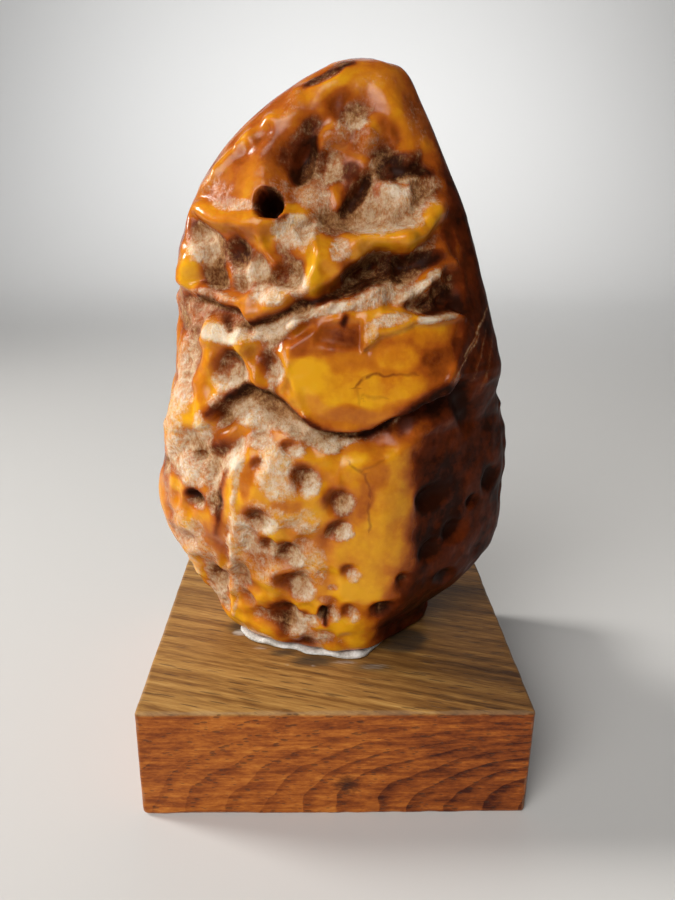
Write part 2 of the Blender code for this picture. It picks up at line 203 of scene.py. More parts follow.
# %% The plain form
def reaches(rise):
    """The stations joined by a smooth cubic through each of them, read in even steps along the side."""
    rows = np.array(STATIONS)
    last = len(rows) - 1

    def curve(step):
        """The cubic from b to c, with slope (c - a) / 2 at b and (d - b) / 2 at c; a to d are rows in turn."""
        first = np.clip(np.floor(step).astype(int), 0, last - 1)
        t = (step - first)[..., None]
        a, b = rows[np.maximum(first - 1, 0)], rows[first]
        c, d = rows[first + 1], rows[np.minimum(first + 2, last)]
        return 0.5 * (2 * b + (c - a) * t + (2 * a - 5 * b + 4 * c - d) * t ** 2
                      + (3 * b - a - 3 * c + d) * t ** 3)

    steps = np.linspace(0.0, last, 400)
    side = curve(steps)
    radius = (side[:, 2] - side[:, 1] + side[:, 4] - side[:, 3]) / 4
    travel = np.concatenate([[0.0], np.cumsum(np.hypot(np.diff(side[:, 0]), np.diff(radius)))])
    return curve(np.interp(rise * travel[-1], travel, steps))


def form(turn, rise):
    """An oval at each height, pressed in by the facets: the share of the oval's reach is
    (sum of (cosine from the facet's heading / the facet's distance) ^ 14) ^ (-1 / 14)."""
    reach = reaches(rise)
    height, left, right, front, back = (reach[..., i] for i in range(5))
    press = np.zeros(turn.shape)
    for heading, distances in FACETS:
        near = np.interp(height, FACET_HEIGHTS, distances)
        press += (np.maximum(0.0, np.cos(np.radians(turn - heading))) / near) ** FACET_CRISPNESS
    out = press ** (-1.0 / FACET_CRISPNESS)
    angle = np.radians(turn)
    return np.stack([(left + right) / 2 + (right - left) / 2 * out * np.sin(angle),
                     (front + back) / 2 - (back - front) / 2 * out * np.cos(angle),
                     height], axis=-1)

# %% [markdown]
# ## The lump's relief
#
# The real lump has two creases across its front, where the upper layers of resin overlap the lower ones, a
# chipped face with a sharp edge, a drilled hole, dozens of thumbnail pits and a calm cheek that was polished.
# Each is drawn in its own place on the front. The back and the sides carry the same ledges, with strewn pits
# and swells, because the front is all that is known of it.

# %% Creases, chip and cheek
# turn, height of the crease, depth of the cut below it
UPPER_LEDGE = (
    (0, 79.5, 3.6), (7, 83.3, 5), (18, 85.8, 5.6), (28, 86.3, 4.6), (48, 91.3, 1.6), (66, 93, 0.2),
    (120, 85, 0.6), (180, 79, 2.4), (225, 84, 1.8), (265, 79, 0.6), (288, 78.4, 0.8), (300, 76.2, 2.2),
    (314, 75.5, 2.8), (324, 74.8, 3), (329, 71.8, 3.4), (336, 74, 3.2), (349, 77.3, 2.8),
)
LOWER_LEDGE = (
    (1, 52.6, 4.2), (16, 55.1, 4.4), (26, 58, 4.2), (40, 60.1, 3.2), (55, 61, 0.5), (110, 57, 0.1),
    (160, 51, 1.8), (205, 57, 2.2), (250, 49, 0.5), (290, 48, 0.3), (310, 52, 1.6), (314, 54.3, 2.6),
    (322, 59.1, 3.4), (328, 60.7, 3.6), (334, 60.3, 3.4), (342, 58, 3.2), (350, 54.2, 3.6),
)
LEDGE_REACH = 7.5                # how far down the cut below a crease fades out
LEDGE_LIP = 1.1                  # how far a crease is from full depth to none

# The rest is on the front: x to the right and height, as seen from straight ahead.
# the outline of the glossy chipped face
CHIP = (
    (-9.8, 69), (-7.2, 70.7), (-3.7, 72.9), (2.1, 74.1), (4.2, 73.8), (4.4, 70.8), (4.2, 68.4), (5.6, 69.2),
    (7.6, 71), (10.4, 71.7), (12.6, 72.6), (14.1, 73.4), (18.3, 73.1), (23.3, 73.4), (23.2, 69.3), (22.1, 65.5),
    (20.4, 62.3), (16.9, 60.5), (12, 57.8), (9.4, 55), (6.5, 53.2), (3.1, 52.7), (-2.7, 52.9), (-4.3, 54.5),
    (-6.3, 56.5), (-7.9, 58.5), (-9, 61.8), (-9.6, 65.7),
)
# outline, level, soft width of its edge: the steps that the chip broke in
CHIP_STEPS = (
    (((-3.9, 73.5), (5.6, 75), (5.4, 68.2), (1, 69), (-4.2, 69.8)), -0.8, 1.8),
    (((-9.8, 52), (12, 52), (9, 55.5), (-3, 57), (-6.5, 60.5)), -0.7, 3.5),
    (((14, 74.5), (24.5, 74.5), (22, 60.5), (17.5, 62)), -0.5, 5),
)
CHIP_EDGE = 0.8                  # soft width of the chip's edge
CHIP_LEVEL = 0.2                 # the chip's level against the plain lump
CHIP_WAVES = (7.0, 0.35)         # size and height of the waves on the broken face
# the calm polished cheek that runs down to the foot and round to the right
CHEEK = ((0.5, 51), (14.5, 57), (21, 59), (40, 63), (40, 3), (2, -1), (2, 7), (-1, 25), (1.5, 43))
CHEEK_EDGE = 3.0                 # soft width of its edge
CHEEK_CALM = 0.75                # share of the lumpiness that is polished away there
HEAD, HEAD_CALM = (84.0, 93.0), 0.95     # the head is worn too, from one to the other height
FLANK, FLANK_CALM = (56.0, 66.0), 0.8    # and the right flank, above the widest part
print(len(UPPER_LEDGE), "and", len(LOWER_LEDGE), "marks on the creases,", len(CHIP), "corners round the chip")

# %% Hollows, ridges and pits
# outline, level, soft width of its edge
HOLLOWS = (
    (((-10.5, 94), (-11, 102), (-8, 109), (-2, 113), (5, 112.5), (10.5, 108), (16, 102), (18.5, 97),
      (17.5, 92), (10, 90.7), (2, 90.2), (-4, 89.2)), -3.6, 6.5),
    (((-28.5, 90.7), (-15, 89.4), (-10, 90.7), (-6, 91.7), (-5.5, 86.2), (-7.8, 78.7), (-14, 77.7),
      (-21, 78.2), (-29, 79.7)), -2.4, 2.6),
    (((11, 84.7), (19, 86.7), (24, 81.2), (24.5, 74), (15, 74.4), (9, 75.7)), -2.2, 2.4),
)
# x and height of both ends, half-width, how far it stands out
RIDGES = (
    (-27.7, 96.8, -22.5, 100.1, 1.1, 0.7), (-22.5, 100.1, -19, 104.3, 1.1, 0.8),
    (-19, 104.3, -12.8, 109.1, 1.1, 0.8), (-12.8, 109.1, -7.6, 114, 1.4, 0.4),
    (-7.6, 114, 0.8, 117.4, 1.5, 0.3), (-28, 96.5, -15.5, 93.2, 1.6, -0.6), (-27, 91.8, -15.5, 91.6, 2.4, 0.7),
    (-5, 106.2, -2.4, 106.6, 1.9, 0.9), (-2.4, 106.6, 6.4, 106.4, 2.2, 1), (6, 105.4, 3.4, 102.2, 3.4, 1.4),
    (-1.2, 98.6, -0.6, 95.4, 1.5, 0.9), (6.4, 106.4, 14.9, 103.6, 2, 0.8), (3, 88.4, 12, 89.2, 1.9, 1.2),
    (12, 89.2, 18.5, 93.7, 1.8, 1.4), (-5, 86.2, -5.8, 78.4, 2.1, 1.5), (-5.6, 86.2, 2, 83.7, 2.4, 1.2),
    (-32, 85.7, -31.5, 78.7, 1.8, 1.2), (-15, 88.7, -12.5, 83.7, 1, 1.2), (-26, 70.2, -17, 69.2, 1.7, 2.4),
    (-17, 69.2, -9.2, 73.8, 1.5, 2.2), (-9.2, 73.8, -1.8, 76.8, 1.3, 2.2), (-1.8, 76.8, 7, 79.2, 1.3, 1.8),
    (11.6, 77, 16.7, 81, 1, 1), (16.7, 81, 22.4, 83.4, 0.9, 0.9), (14.3, 73.7, 23.3, 73.2, 0.7, 1.2),
    (4.6, 68.8, 7.4, 71.8, 0.8, 1), (7.4, 71.8, 13, 73.2, 0.8, 0.9), (-25.6, 68.7, -26.2, 55.2, 1.5, 1.4),
    (-18, 69.2, -16.8, 62.2, 1.5, 1.2), (-11, 70.2, -10.5, 61.2, 0.9, 1), (-23, 4.5, -12, 2, 3.2, 1.6),
    (0, 1.5, 9, 1, 3, 1.3), (-29, 52.5, -29.4, 66, 1.3, -0.8), (-19.2, 46, -20.4, 38.4, 0.9, 1),
    (-20.4, 38.4, -21.8, 20.6, 0.9, 1), (-21.8, 20.6, -22.4, 6, 0.9, 0.8),
)
# x, height, across, tall, tilt to the right, depth
PITS = (
    (-7, 103, 4.2, 8.6, 30, 1.5), (1.3, 110.2, 8, 4, 20, 0.5), (3.2, 97.6, 3.2, 9.6, 38, 1.5),
    (13.2, 101, 10, 3.4, -8, 1.1), (-2.2, 102.4, 5, 5, 0, 0.5), (-20.2, 85.4, 4.8, 5.8, 0, 1.5),
    (-9.7, 80.9, 6.5, 6, 0, 0.9), (5.5, 82.4, 10, 4, 15, 0.8), (17, 76.6, 4.6, 2.6, -10, 1.1),
    (19.6, 79.6, 3.4, 2.6, -25, 0.9), (13.8, 76.6, 2.6, 2, 0, 0.7), (21.2, 77.4, 2.8, 2.8, 0, 1),
    (-21.4, 63.6, 6, 8, 0, 1.5), (-13.3, 64.6, 4.6, 6.5, 0, 1.1), (-22.7, 46.8, 6.3, 9.3, 35, 1.3),
    (-28.8, 45.1, 2, 2, 0, 1.2), (-14.9, 45.7, 3.7, 3.3, 0, 1), (-8.9, 49.2, 4.6, 3.2, 0, 0.9),
    (-6.2, 43.3, 5.1, 6.5, 15, 1.3), (0.2, 38.9, 5.9, 5.6, -25, 1.7), (0.5, 33.2, 5, 4.1, -15, 1.2),
    (-29.5, 35.7, 4.3, 3.3, 0, 1.9), (-15.2, 34.7, 6.3, 5.5, 0, 1.6), (-14, 28.4, 4.4, 5.4, 0, 1.1),
    (-9.5, 26.4, 5.9, 6.4, 0, 1.6), (-8.7, 18.6, 7.6, 7.1, 15, 1.6), (-26, 14.5, 4.4, 7.6, 25, 1.8),
    (2.6, 22.7, 3.7, 4.7, 0, 1), (-10.6, 8.4, 8.6, 9.4, 0, 1.7), (-5.9, 9.4, 4.4, 4.6, 0, 0.8),
    (-2.6, 11.3, 1.8, 4.8, 0, 3.2), (-1, 12, 3.6, 4.2, 0, 0.9), (3.1, 12.4, 3.7, 4.8, 0, 1.1),
    (19.4, 37.4, 7, 6, -15, 1.8), (34.2, 36.6, 4.8, 6.4, 0, 1.6), (25.4, 27.6, 6, 5, 15, 1.6),
    (20.2, 25, 4.6, 5.2, 0, 1.3), (13.8, 20.6, 3, 3, 0, 0.9), (10, 13.6, 5.4, 4.4, -15, 1.6),
    (29.6, 32.8, 3.2, 3.4, 0, 0.9), (26.6, 53.2, 4, 9, -15, 1.2), (24, 17.2, 4.5, 4.5, 0, 1.1),
    (-18.4, 103.6, 4.8, 4, 30, 0.7), (-14.6, 106.8, 4.6, 4, 30, 0.6),
)
HOLE = (-13.4, 94.5, 4.8, 4.8, 9)        # x, height, across, tall, depth
print(len(HOLLOWS), "hollows,", len(RIDGES), "lengths of ridge and", len(PITS), "pits")

# %% Fine lumpiness
WANDER = ((6.0, 1.3), (2.8, 0.5))                # size and reach of the drawn outlines' straying
SWELLS = ((14.0, 1.6), (6.5, 1.3), (3.1, 0.5))   # size and height of the lumpiness
PROUD = 1.5                      # nothing stands out of the plain lump by more than this
WILD_PITS = (9.0, 1.6)           # size and depth of the scattered pits off the front
SMALL_PITS = (4.6, 0.7)          # and of the small ones everywhere
GRIT = (1.5, 0.22)               # size and height of the crust's roughness
CRUMBS = (3.0, 0.35)             # and of the crumbs that it has broken into
CRUMPLE = (4.2, 0.35)            # and of the crumpled lower left of the front
HOLE_CORNERS = 2.6               # 2 would make the hole a plain oval, more makes it squarer

# %% Out of the lump, and onto the drawing
def outward(turn, rise):
    """The direction straight out of the plain lump: the cross product of its two tangents, made 1 long."""
    side = form(turn + 1.0, rise) - form(turn - 1.0, rise)
    up = form(turn, np.minimum(rise + 0.004, 1.0)) - form(turn, np.maximum(rise - 0.004, 0.0))
    normal = np.cross(side, up)
    return normal / (np.linalg.norm(normal, axis=-1, keepdims=True) + 1e-9)


def drawn(point):
    """Where each point falls on the drawing of the front: its x and height, strayed by soft noise."""
    x = point[..., 0] + sum(far * cloud(point, size) for size, far in WANDER)
    height = point[..., 2] + sum(far * cloud(point + 40.0, size) for size, far in WANDER)
    return x, height


# %% Worn and lumpy skin
def calmed(point, normal, height, chip, smooth):
    """The share of the lumpiness that is worn away: the largest of the chip's, the cheek and head's, and the
    flank's; also the share of the flank itself, where the skin faces right above the widest part."""
    worn = CHEEK_CALM + (HEAD_CALM - CHEEK_CALM) * ease(*HEAD, height)
    flank = ease(0.45, 0.80, normal[..., 0]) * ease(*FLANK, point[..., 2])
    return np.maximum(np.maximum(chip, worn * smooth), FLANK_CALM * flank), flank


def lumps(point, front, calm, flank):
    """Swells, crumple and strewn pits: each noise or pit times the share of the skin that isn't worn calm. Off
    the front some places have none, so that the back isn't pitted evenly."""
    uneven = np.maximum(front, ease(-0.35, 0.45, cloud(point + 50.0, 16.0)))
    out = sum(tall * cloud(point + size, size) for size, tall in SWELLS) * (1.0 - calm)
    crumpled = front * ease(0.0, -8.0, point[..., 0]) * ease(56.0, 50.0, point[..., 2])
    out += CRUMPLE[1] * cloud(point + 33.0, CRUMPLE[0]) * crumpled
    for (size, depth), rim, bare in ((WILD_PITS, 0.55, np.maximum(front, flank)), (SMALL_PITS, 0.62, calm)):
        out -= depth * (1.0 - ease(0.05, rim, nearest_seed(point, size))) * (1.0 - bare) * uneven
    return out


# %% The relief
def relief(point, normal, turn):
    """How far the skin stands out of the plain lump, in mm: lumps, less the pits, creases and hollows, plus
    the ridges; what stands out is bent back by a tanh, and the chip and the hole are cut last.
    Also returns the shares of front, chip and smooth skin."""
    front = ease(0.12, 0.40, -normal[..., 1])
    x, height = drawn(point)
    chip = inside(point[..., 0], point[..., 2], CHIP, CHIP_EDGE) * front
    sunk = [inside(x, height, outline, soft) * front for outline, _, soft in HOLLOWS]
    smooth = np.maximum(inside(x, height, CHEEK, CHEEK_EDGE) * front,
                        ease(*HEAD, height) * (1.0 - np.maximum.reduce(sunk)))
    calm, flank = calmed(point, normal, height, chip, smooth)
    out = lumps(point, front, calm, flank)

    for ledge in (UPPER_LEDGE, LOWER_LEDGE):
        above = height - round_the_lump(turn, ledge, 1)
        cut = ease(LEDGE_LIP, -LEDGE_LIP, above) * ease(-LEDGE_REACH, -LEDGE_LIP, above)
        out -= round_the_lump(turn, ledge, 2) * cut
    for share, (_, level, _) in zip(sunk, HOLLOWS):
        out += level * share
    for *line, out_by in RIDGES:
        out += out_by * stroke(x, height, *line) * front
    near_x, near_height = 0.4 * x + 0.6 * point[..., 0], 0.4 * height + 0.6 * point[..., 2]
    for *pit, depth in PITS:
        out -= depth * scoop(near_x, near_height, *pit) * front
    out = np.where(out > 0.0, PROUD * np.tanh(out / PROUD), out)

    face = CHIP_LEVEL + CHIP_WAVES[1] * cloud(point + 20.0, CHIP_WAVES[0])
    for outline, step, soft in CHIP_STEPS:
        face = face + step * inside(point[..., 0], point[..., 2], outline, soft)
    out += (face - out) * chip
    hole_x, hole_height, across, tall, depth = HOLE
    far = (np.abs((point[..., 0] - hole_x) * 2 / across) ** HOLE_CORNERS
           + np.abs((point[..., 2] - hole_height) * 2 / tall) ** HOLE_CORNERS) ** (1 / HOLE_CORNERS)
    return out - depth * (1.0 - ease(0.8, 1.15, far)) * front, front, chip, smooth


# %% [markdown]
# ## The lump's net of points
#
# The net is a closed globe: rings of points from the middle of the flat foot up to the top, closer together in
# front, where the drawn detail is. It stays below 200,000 triangles.

# %% The net
LUMP_COLUMNS, LUMP_RINGS = 350, 280
UNDERSIDE_RINGS = 6
FRONT_CROWDING = 0.40                     # 0 spaces the columns evenly, near 1 crowds them all in front
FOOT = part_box("amber")[0].z / MM          # height of the lump's foot

even = np.arange(LUMP_COLUMNS) / LUMP_COLUMNS * 360.0
turn = (even - FRONT_CROWDING * np.degrees(np.sin(np.radians(even))))[None, :]
ring = np.arange(1, LUMP_RINGS)[:, None]
rise = np.clip((ring - UNDERSIDE_RINGS) / (LUMP_RINGS - UNDERSIDE_RINGS), 0.0, 1.0)
turn, rise = np.broadcast_arrays(turn, rise)
plain, normal = form(turn, rise), outward(turn, rise)
level, front, chip, smooth = relief(plain, normal, turn % 360.0)
print("relief mm from", round(float(level.min()), 1), "to", round(float(level.max()), 1))

# %% [markdown]
# ## Where the crust lies, and what colour the amber is
#
# The sea and the sand polish what stands out and leave the weathered crust in what is sunken, so ridges are
# glossy yellow to orange and hollows hold a dull, dusty tan skin. Deep walls and the oxidised sides go
# red-brown: sunken skin is painted darker, partly as shade, the walls of pits are painted shade, and the
# oxidised sides are partly painted shade too. The first rule compares each point's level with the level round
# it; then a table sets the places on the front that differ, some of them painted shade: tone 0 is dark brown,
# 0.5 orange, 1 bright yellow.

# %% Level against its surroundings
def averaged(values, reach):
    """Each value replaced by the mean of its neighbours: three passes of a box of 2 reach + 1 both ways."""
    for _ in range(3):
        values = sum(np.roll(values, step, axis=1) for step in range(-reach, reach + 1)) / (2 * reach + 1)
        tall = np.pad(values, ((reach, reach), (0, 0)), mode="edge")
        values = sum(tall[step:step + values.shape[0]] for step in range(2 * reach + 1)) / (2 * reach + 1)
    return values


near, broad = averaged(level, 2), averaged(level, 7)
sunken = broad - near                     # mm below the surroundings
speckle = cloud(plain + 7.0, 2.2)
patchy = cloud(plain + 90.0, 11.0)
SUNKEN = (-0.05, 0.65)                    # crust begins and is whole where the skin lies this far down
crust = 0.9 * ease(*SUNKEN, sunken + 0.10 * speckle + (0.38 - 0.22 * front) * patchy)
ORANGE = 0.55                             # the plain tone; sunken skin is darker and raised skin yellower
# Sunken skin is painted darker, partly as shade in the hollows.
tone = ORANGE - 0.50 * np.clip(sunken, -0.5, 0.8) + (0.24 - 0.12 * front) * patchy + 0.05 * speckle
print("crust on", round(float((crust > 0.5).mean()) * 100), "% of the net before the table")

# %% Places on the front
# Some of the darkest places, under the rolls and in crevices, are painted shade rather than the amber's own
# colour.
# x, height, across, tall, tilt, crust, tone, strength
PATCHES = (
    (-14.5, 105.4, 8, 4.3, -50, 0.2, 0.56, 0.8), (-7.9, 111.7, 9.5, 4.4, -35, 0.3, 0.58, 0.8),
    (0.6, 114.9, 11, 5.1, -20, 0.15, 0.62, 0.8), (7.9, 114.4, 8.8, 6.6, 0, 0.2, 0.64, 0.9),
    (9.8, 111.3, 8, 9.5, 0, 0.05, 0.64, 0.9), (14.8, 109.3, 5.2, 11.9, -25, 0.25, 0.46, 0.9),
    (17.5, 103.5, 5.2, 8.1, -25, 0.3, 0.44, 0.9), (19.3, 98.4, 3.7, 6.6, -15, 0, 0.5, 0.8),
    (-19.5, 99.1, 13.7, 7.2, -25, 0.08, 0.56, 1), (-20.1, 94.3, 10.3, 3, 5, 0.55, 0.62, 0.9),
    (-19.5, 91.6, 12.5, 3.2, -10, 0.05, 0.58, 1), (-17.5, 89.6, 12, 2, -6, 0, 0.38, 0.8),
    (-8.2, 90, 9.4, 6.4, -15, 0.8, 0.74, 1), (-27.5, 86.6, 5.4, 7.6, 20, 0.9, 0.78, 0.9),
    (-20.3, 85.3, 4.2, 5, 30, 0.5, 0.18, 0.8), (-16.9, 82.6, 8.4, 4.6, -20, 1, 0.8, 0.95),
    (-11.9, 84.1, 4.1, 7.6, -60, 0.1, 0.55, 0.8), (-9.7, 80.9, 6.2, 6.2, 0, 0.95, 0.6, 1),
    (-4.9, 82.2, 3.6, 8.6, 0, 0, 0.95, 1), (-1.8, 82.4, 6, 6.6, 0, 0, 0.62, 0.9),
    (-2.6, 80.2, 7.5, 3.4, -15, 0, 0.72, 1), (-20.6, 82.2, 3.4, 5.6, 0, 0.7, 0.5, 0.9),
    (-29.6, 72.9, 12, 5, 0, 0.4, 0.7, 1), (-23, 73.2, 9, 2.6, 3, 0.1, 0.64, 0.9),
    (-29.9, 80.1, 2.9, 9.6, 0, 0, 0.8, 1), (-24.4, 77.4, 10.8, 2.2, 5, 0.7, 0.6, 0.9),
    (-19.4, 75.2, 13.3, 3.5, 10, 0.1, 0.45, 0.8), (-14.3, 78, 8.2, 4.1, 0, 0.9, 0.68, 0.9),
    (-11.8, 101.8, 8.5, 15, 20, 0.15, 0.37, 0.9), (-10.6, 97.6, 6, 5, 0, 0.4, 0.36, 0.8),
    (-5.5, 110.5, 14, 4.5, -30, 0.05, 0.44, 0.9), (-6.6, 107.9, 8, 4, -40, 0.35, 0.24, 0.9),
    (2, 109.6, 8, 4.4, -15, 0.65, 0.44, 0.9), (-1, 106.9, 6, 2.6, -3, 0.3, 0.38, 0.9),
    (5.8, 105.6, 9, 5, 10, 0.35, 0.36, 0.9), (2.4, 101.6, 3.6, 3.6, 0, 0.3, 0.26, 0.9),
    (-7, 103, 4.4, 8.8, 30, 0.2, 0.05, 0.95), (-2.2, 102.6, 5.5, 6, 0, 0.8, 0.68, 0.9),
    (-4.8, 97, 6.5, 7.5, 0, 0.7, 0.56, 0.9), (-0.8, 96.9, 2.2, 5, 5, 0.05, 0.56, 0.9),
    (3.2, 97.6, 3, 9.6, 38, 0.3, 0.08, 0.95), (10.8, 93.8, 19.2, 9.2, -15, 0.85, 0.66, 1),
    (16.6, 97.6, 8, 5.1, -10, 0.7, 0.48, 1), (9.4, 107.2, 4.5, 6, -30, 0.15, 0.4, 0.8),
    (11.5, 102.2, 11, 4.5, -8, 0.35, 0.2, 0.9), (17.6, 103.8, 3.4, 6.5, -20, 0, 0.56, 0.9),
    (-2, 115, 13, 2.6, -26, 0, 0.8, 0.9), (-1, 113.2, 7, 3, -25, 0.1, 0.42, 0.8),
    (-2.2, 117.1, 10.8, 1.9, -24, 0.45, 0.3, 1), (3.9, 87.4, 8.2, 4.8, -10, 0.15, 0.66, 1),
    (11.8, 88.9, 8.8, 4.1, -15, 0, 0.66, 1), (18.2, 92, 3.5, 6.4, -20, 0, 0.74, 1),
    (-0.2, 86.7, 4.1, 5.4, 0, 0.8, 0.6, 0.8), (8.7, 83.7, 13.4, 4.2, -20, 0.1, 0.3, 0.9),
    (17.9, 85.4, 10.7, 3, 4, 0.05, 0.24, 0.9), (8.4, 81, 11.1, 4.2, -20, 0.35, 0.15, 0.9),
    (8, 78.4, 15.5, 4.1, -14, 0.8, 0.52, 0.9), (18, 79.6, 7.4, 4.6, -20, 0.45, 0.24, 0.9),
    (14.2, 79.2, 7.6, 2.2, -38, 0.95, 0.64, 1), (19.2, 82.3, 6.6, 1.8, -24, 0.85, 0.58, 1),
    (21.6, 82, 2.4, 5, -20, 0.1, 0.46, 0.8), (21.8, 87.2, 3.4, 7.4, -10, 0, 0.32, 0.9),
    (21.9, 78, 3, 4.6, 0, 0.2, 0.12, 0.9), (-22.1, 70.3, 9.1, 3.5, 0, 1, 0.85, 1),
    (-12.5, 72.3, 11.9, 3.5, -25, 1, 0.85, 1), (-2.3, 75.9, 12.1, 2.4, -12, 0.9, 0.68, 1),
    (19.2, 75.5, 6.4, 4.3, 0, 0.2, 0.1, 0.9), (18.4, 73.9, 8.9, 1.5, -15, 1, 0.8, 1),
    (-5.6, 63.4, 8.8, 7.4, 0, 0, 1.02, 1), (2.9, 61, 13.5, 8.4, 0, 0, 0.86, 1),
    (11.7, 61.4, 10.9, 6.5, 0, 0, 0.7, 1), (0.7, 71.2, 16.1, 5.4, 0, 0, 0.49, 0.9),
    (-1.6, 70, 11.5, 5.6, 0, 0, 0.38, 0.9), (-6.8, 69.6, 7, 4.4, -35, 0, 0.3, 1),
    (10.8, 67.2, 9.4, 5.4, -5, 0, 0.82, 1), (18.3, 71, 8.9, 4.1, 0, 0, 0.68, 1),
    (19.4, 64.6, 4.6, 9, 0, 0, 0.46, 0.9), (23.4, 68.5, 3.6, 10, 0, 0, 0.24, 0.9),
    (0.6, 55.8, 14, 4.8, 0, 0, 0.38, 0.9), (11.2, 57.6, 8.2, 3.4, -30, 0, 0.46, 0.9),
    (-30.4, 61.5, 4.6, 16, 4, 0.75, 0.72, 0.95), (-33.6, 62, 1.8, 16, 4, 0.15, 0.66, 0.8),
    (-26.4, 62, 3, 14.3, -4, 0.05, 0.52, 0.9), (-21.8, 62.8, 5, 7.6, 0, 0.9, 0.76, 0.9),
    (-16.1, 64.5, 4.1, 7.6, 0, 0.1, 0.55, 0.8), (-13.1, 64.5, 3.6, 6.2, 0, 0.85, 0.72, 0.9),
    (-11, 61.1, 4.1, 5.4, 0, 0, 0.6, 0.9), (-18.3, 55.4, 13.5, 5, 15, 0.95, 0.78, 0.9),
    (-7.9, 53, 10.4, 3.5, 20, 1, 0.8, 0.9), (1.4, 50, 10.5, 3.5, -10, 1, 0.85, 1),
    (9.8, 52.5, 9.1, 1.8, -30, 1, 0.85, 0.9), (-27.3, 51.9, 4.3, 7.2, 10, 0.85, 0.75, 0.8),
    (-21.7, 46.5, 5.1, 7.9, 30, 0.95, 0.82, 0.9), (-30.8, 41.3, 8.3, 6.8, 0, 0.85, 0.68, 0.9),
    (-33.5, 36.7, 6.9, 3.1, 20, 0, 1, 0.9), (-30, 36.5, 3, 3, 0, 0.1, 0.1, 0.9),
    (-24.9, 36, 3.7, 5.2, 0, 0.8, 0.4, 0.8), (-11.6, 44.4, 9, 12.5, -10, 0.75, 0.7, 0.9),
    (-17.1, 43, 2.6, 10, 8, 0.05, 0.46, 0.9), (-15.3, 50.8, 6.3, 4.2, 0, 0.9, 0.55, 0.9),
    (-10.4, 38.5, 7.5, 3.2, 0, 0.1, 0.42, 0.9), (-6.6, 35, 7, 6, 0, 0.8, 0.8, 0.8),
    (-4.3, 41.5, 5.5, 4.2, -20, 0, 0.85, 0.9), (-5.1, 36.1, 6.3, 2.8, 0, 0.1, 0.8, 0.8),
    (10, 48, 10.4, 11.1, 0, 0, 0.72, 1), (10.4, 38.5, 11.3, 11.3, 0, 0, 0.84, 1),
    (6.4, 28.9, 16.6, 12.3, 0, 0, 0.86, 1), (3.8, 20.4, 16.4, 10.4, 0, 0, 0.92, 1),
    (4.2, 7.4, 11, 9.5, 0, 0, 1, 1), (3.9, 48.5, 8.3, 4.2, -20, 0, 0.85, 1),
    (6.7, 44.7, 6.3, 8.3, 20, 0, 0.45, 0.8), (5.4, 38.2, 3.5, 7.7, 0, 0, 0.5, 0.7),
    (-7, 26.6, 8, 8.8, 0, 0.55, 0.75, 0.8), (-15.3, 21.7, 8.3, 9.1, 0, 0.25, 0.7, 0.8),
    (-11.6, 16.7, 10, 4.6, -20, 0.2, 0.7, 0.8), (-28.7, 23.3, 8.7, 10.2, 20, 0.55, 0.6, 0.7),
    (-25.8, 28.6, 4.6, 9.9, 0, 0.1, 0.55, 0.8), (-17.3, 11.4, 10.4, 5.6, 30, 0.2, 0.7, 0.8),
    (21.7, 35.6, 10.6, 22.7, 0, 0, 0.25, 0.9), (17.5, 66.8, 3.6, 3.2, 20, 0, 0.34, 0.7),
    (9, 73.6, 9, 2.6, -12, 0.7, 0.6, 1), (6, 71.4, 3, 3.4, 30, 0.45, 0.72, 1),
    (18.6, 74.1, 8.5, 0.9, 3, 0.95, 0.85, 1), (-34, 52, 7, 12, 0, 0.65, 0.72, 0.8),
    (-34, 44.5, 6, 7, 0, 0.8, 0.8, 0.9), (-0.6, 18.9, 2.6, 2, 0, 0.5, 0.62, 0.8),
    (-1.8, 15.4, 5, 2.4, 8, 0.3, 0.42, 0.8), (-12, 36, 14, 5, 20, 0.6, 0.72, 0.7),
    (-20.5, 28, 7, 14, 5, 0.55, 0.66, 0.7), (-13.5, 21.5, 12, 7, 10, 0.5, 0.72, 0.6),
    (-22.5, 17, 6, 12, 20, 0.5, 0.62, 0.7), (-33, 27, 6, 12, 10, 0.6, 0.7, 0.7),
    (-4.7, 24.4, 6, 12, 0, 0.45, 0.82, 0.8), (-23.9, 27.3, 4, 12, 0, 0.1, 0.46, 0.8),
    (-30, 26.5, 4.6, 12, 15, 0.6, 0.76, 0.8), (-24, 97, 8, 5, 0, 0.3, 0.6, 0.8),
    (10, 98, 6.5, 3.6, 0, 0.9, 0.52, 1),
)
print(len(PATCHES), "places")

# %% The oxidised side, partly painted shade
# its outline on the right of the front, seen from straight ahead; inside it the amber is darkened, partly as
# its red-brown oxide and partly as painted shade
OXIDE_AND_SHADE_OUTLINE = (
    (13.2, 120), (16.4, 114), (19.4, 107), (20, 101), (19.4, 96), (20.8, 88), (21.9, 76.6), (23, 71.9),
    (21.8, 62.3), (19.4, 58), (14.8, 52.5), (14.9, 40.4), (17.5, 32.7), (15, 30.3), (15.7, 24.5), (13.3, 20.3),
    (11, 16), (8.2, 11.5), (7.2, 6), (7.2, -5), (70, -5), (70, 120),
)
DARK_EDGE = 6.5                  # soft width of its edge
border = plain[..., 0] + 1.3 * speckle + 2.2 * cloud(plain + 31.0, 7.0)
oxide_and_shade = inside(border, plain[..., 2], OXIDE_AND_SHADE_OUTLINE, DARK_EDGE) * ease(9.0, 3.0, plain[..., 1])
print("dark side on", round(float((oxide_and_shade > 0.5).mean()) * 100), "% of the net")

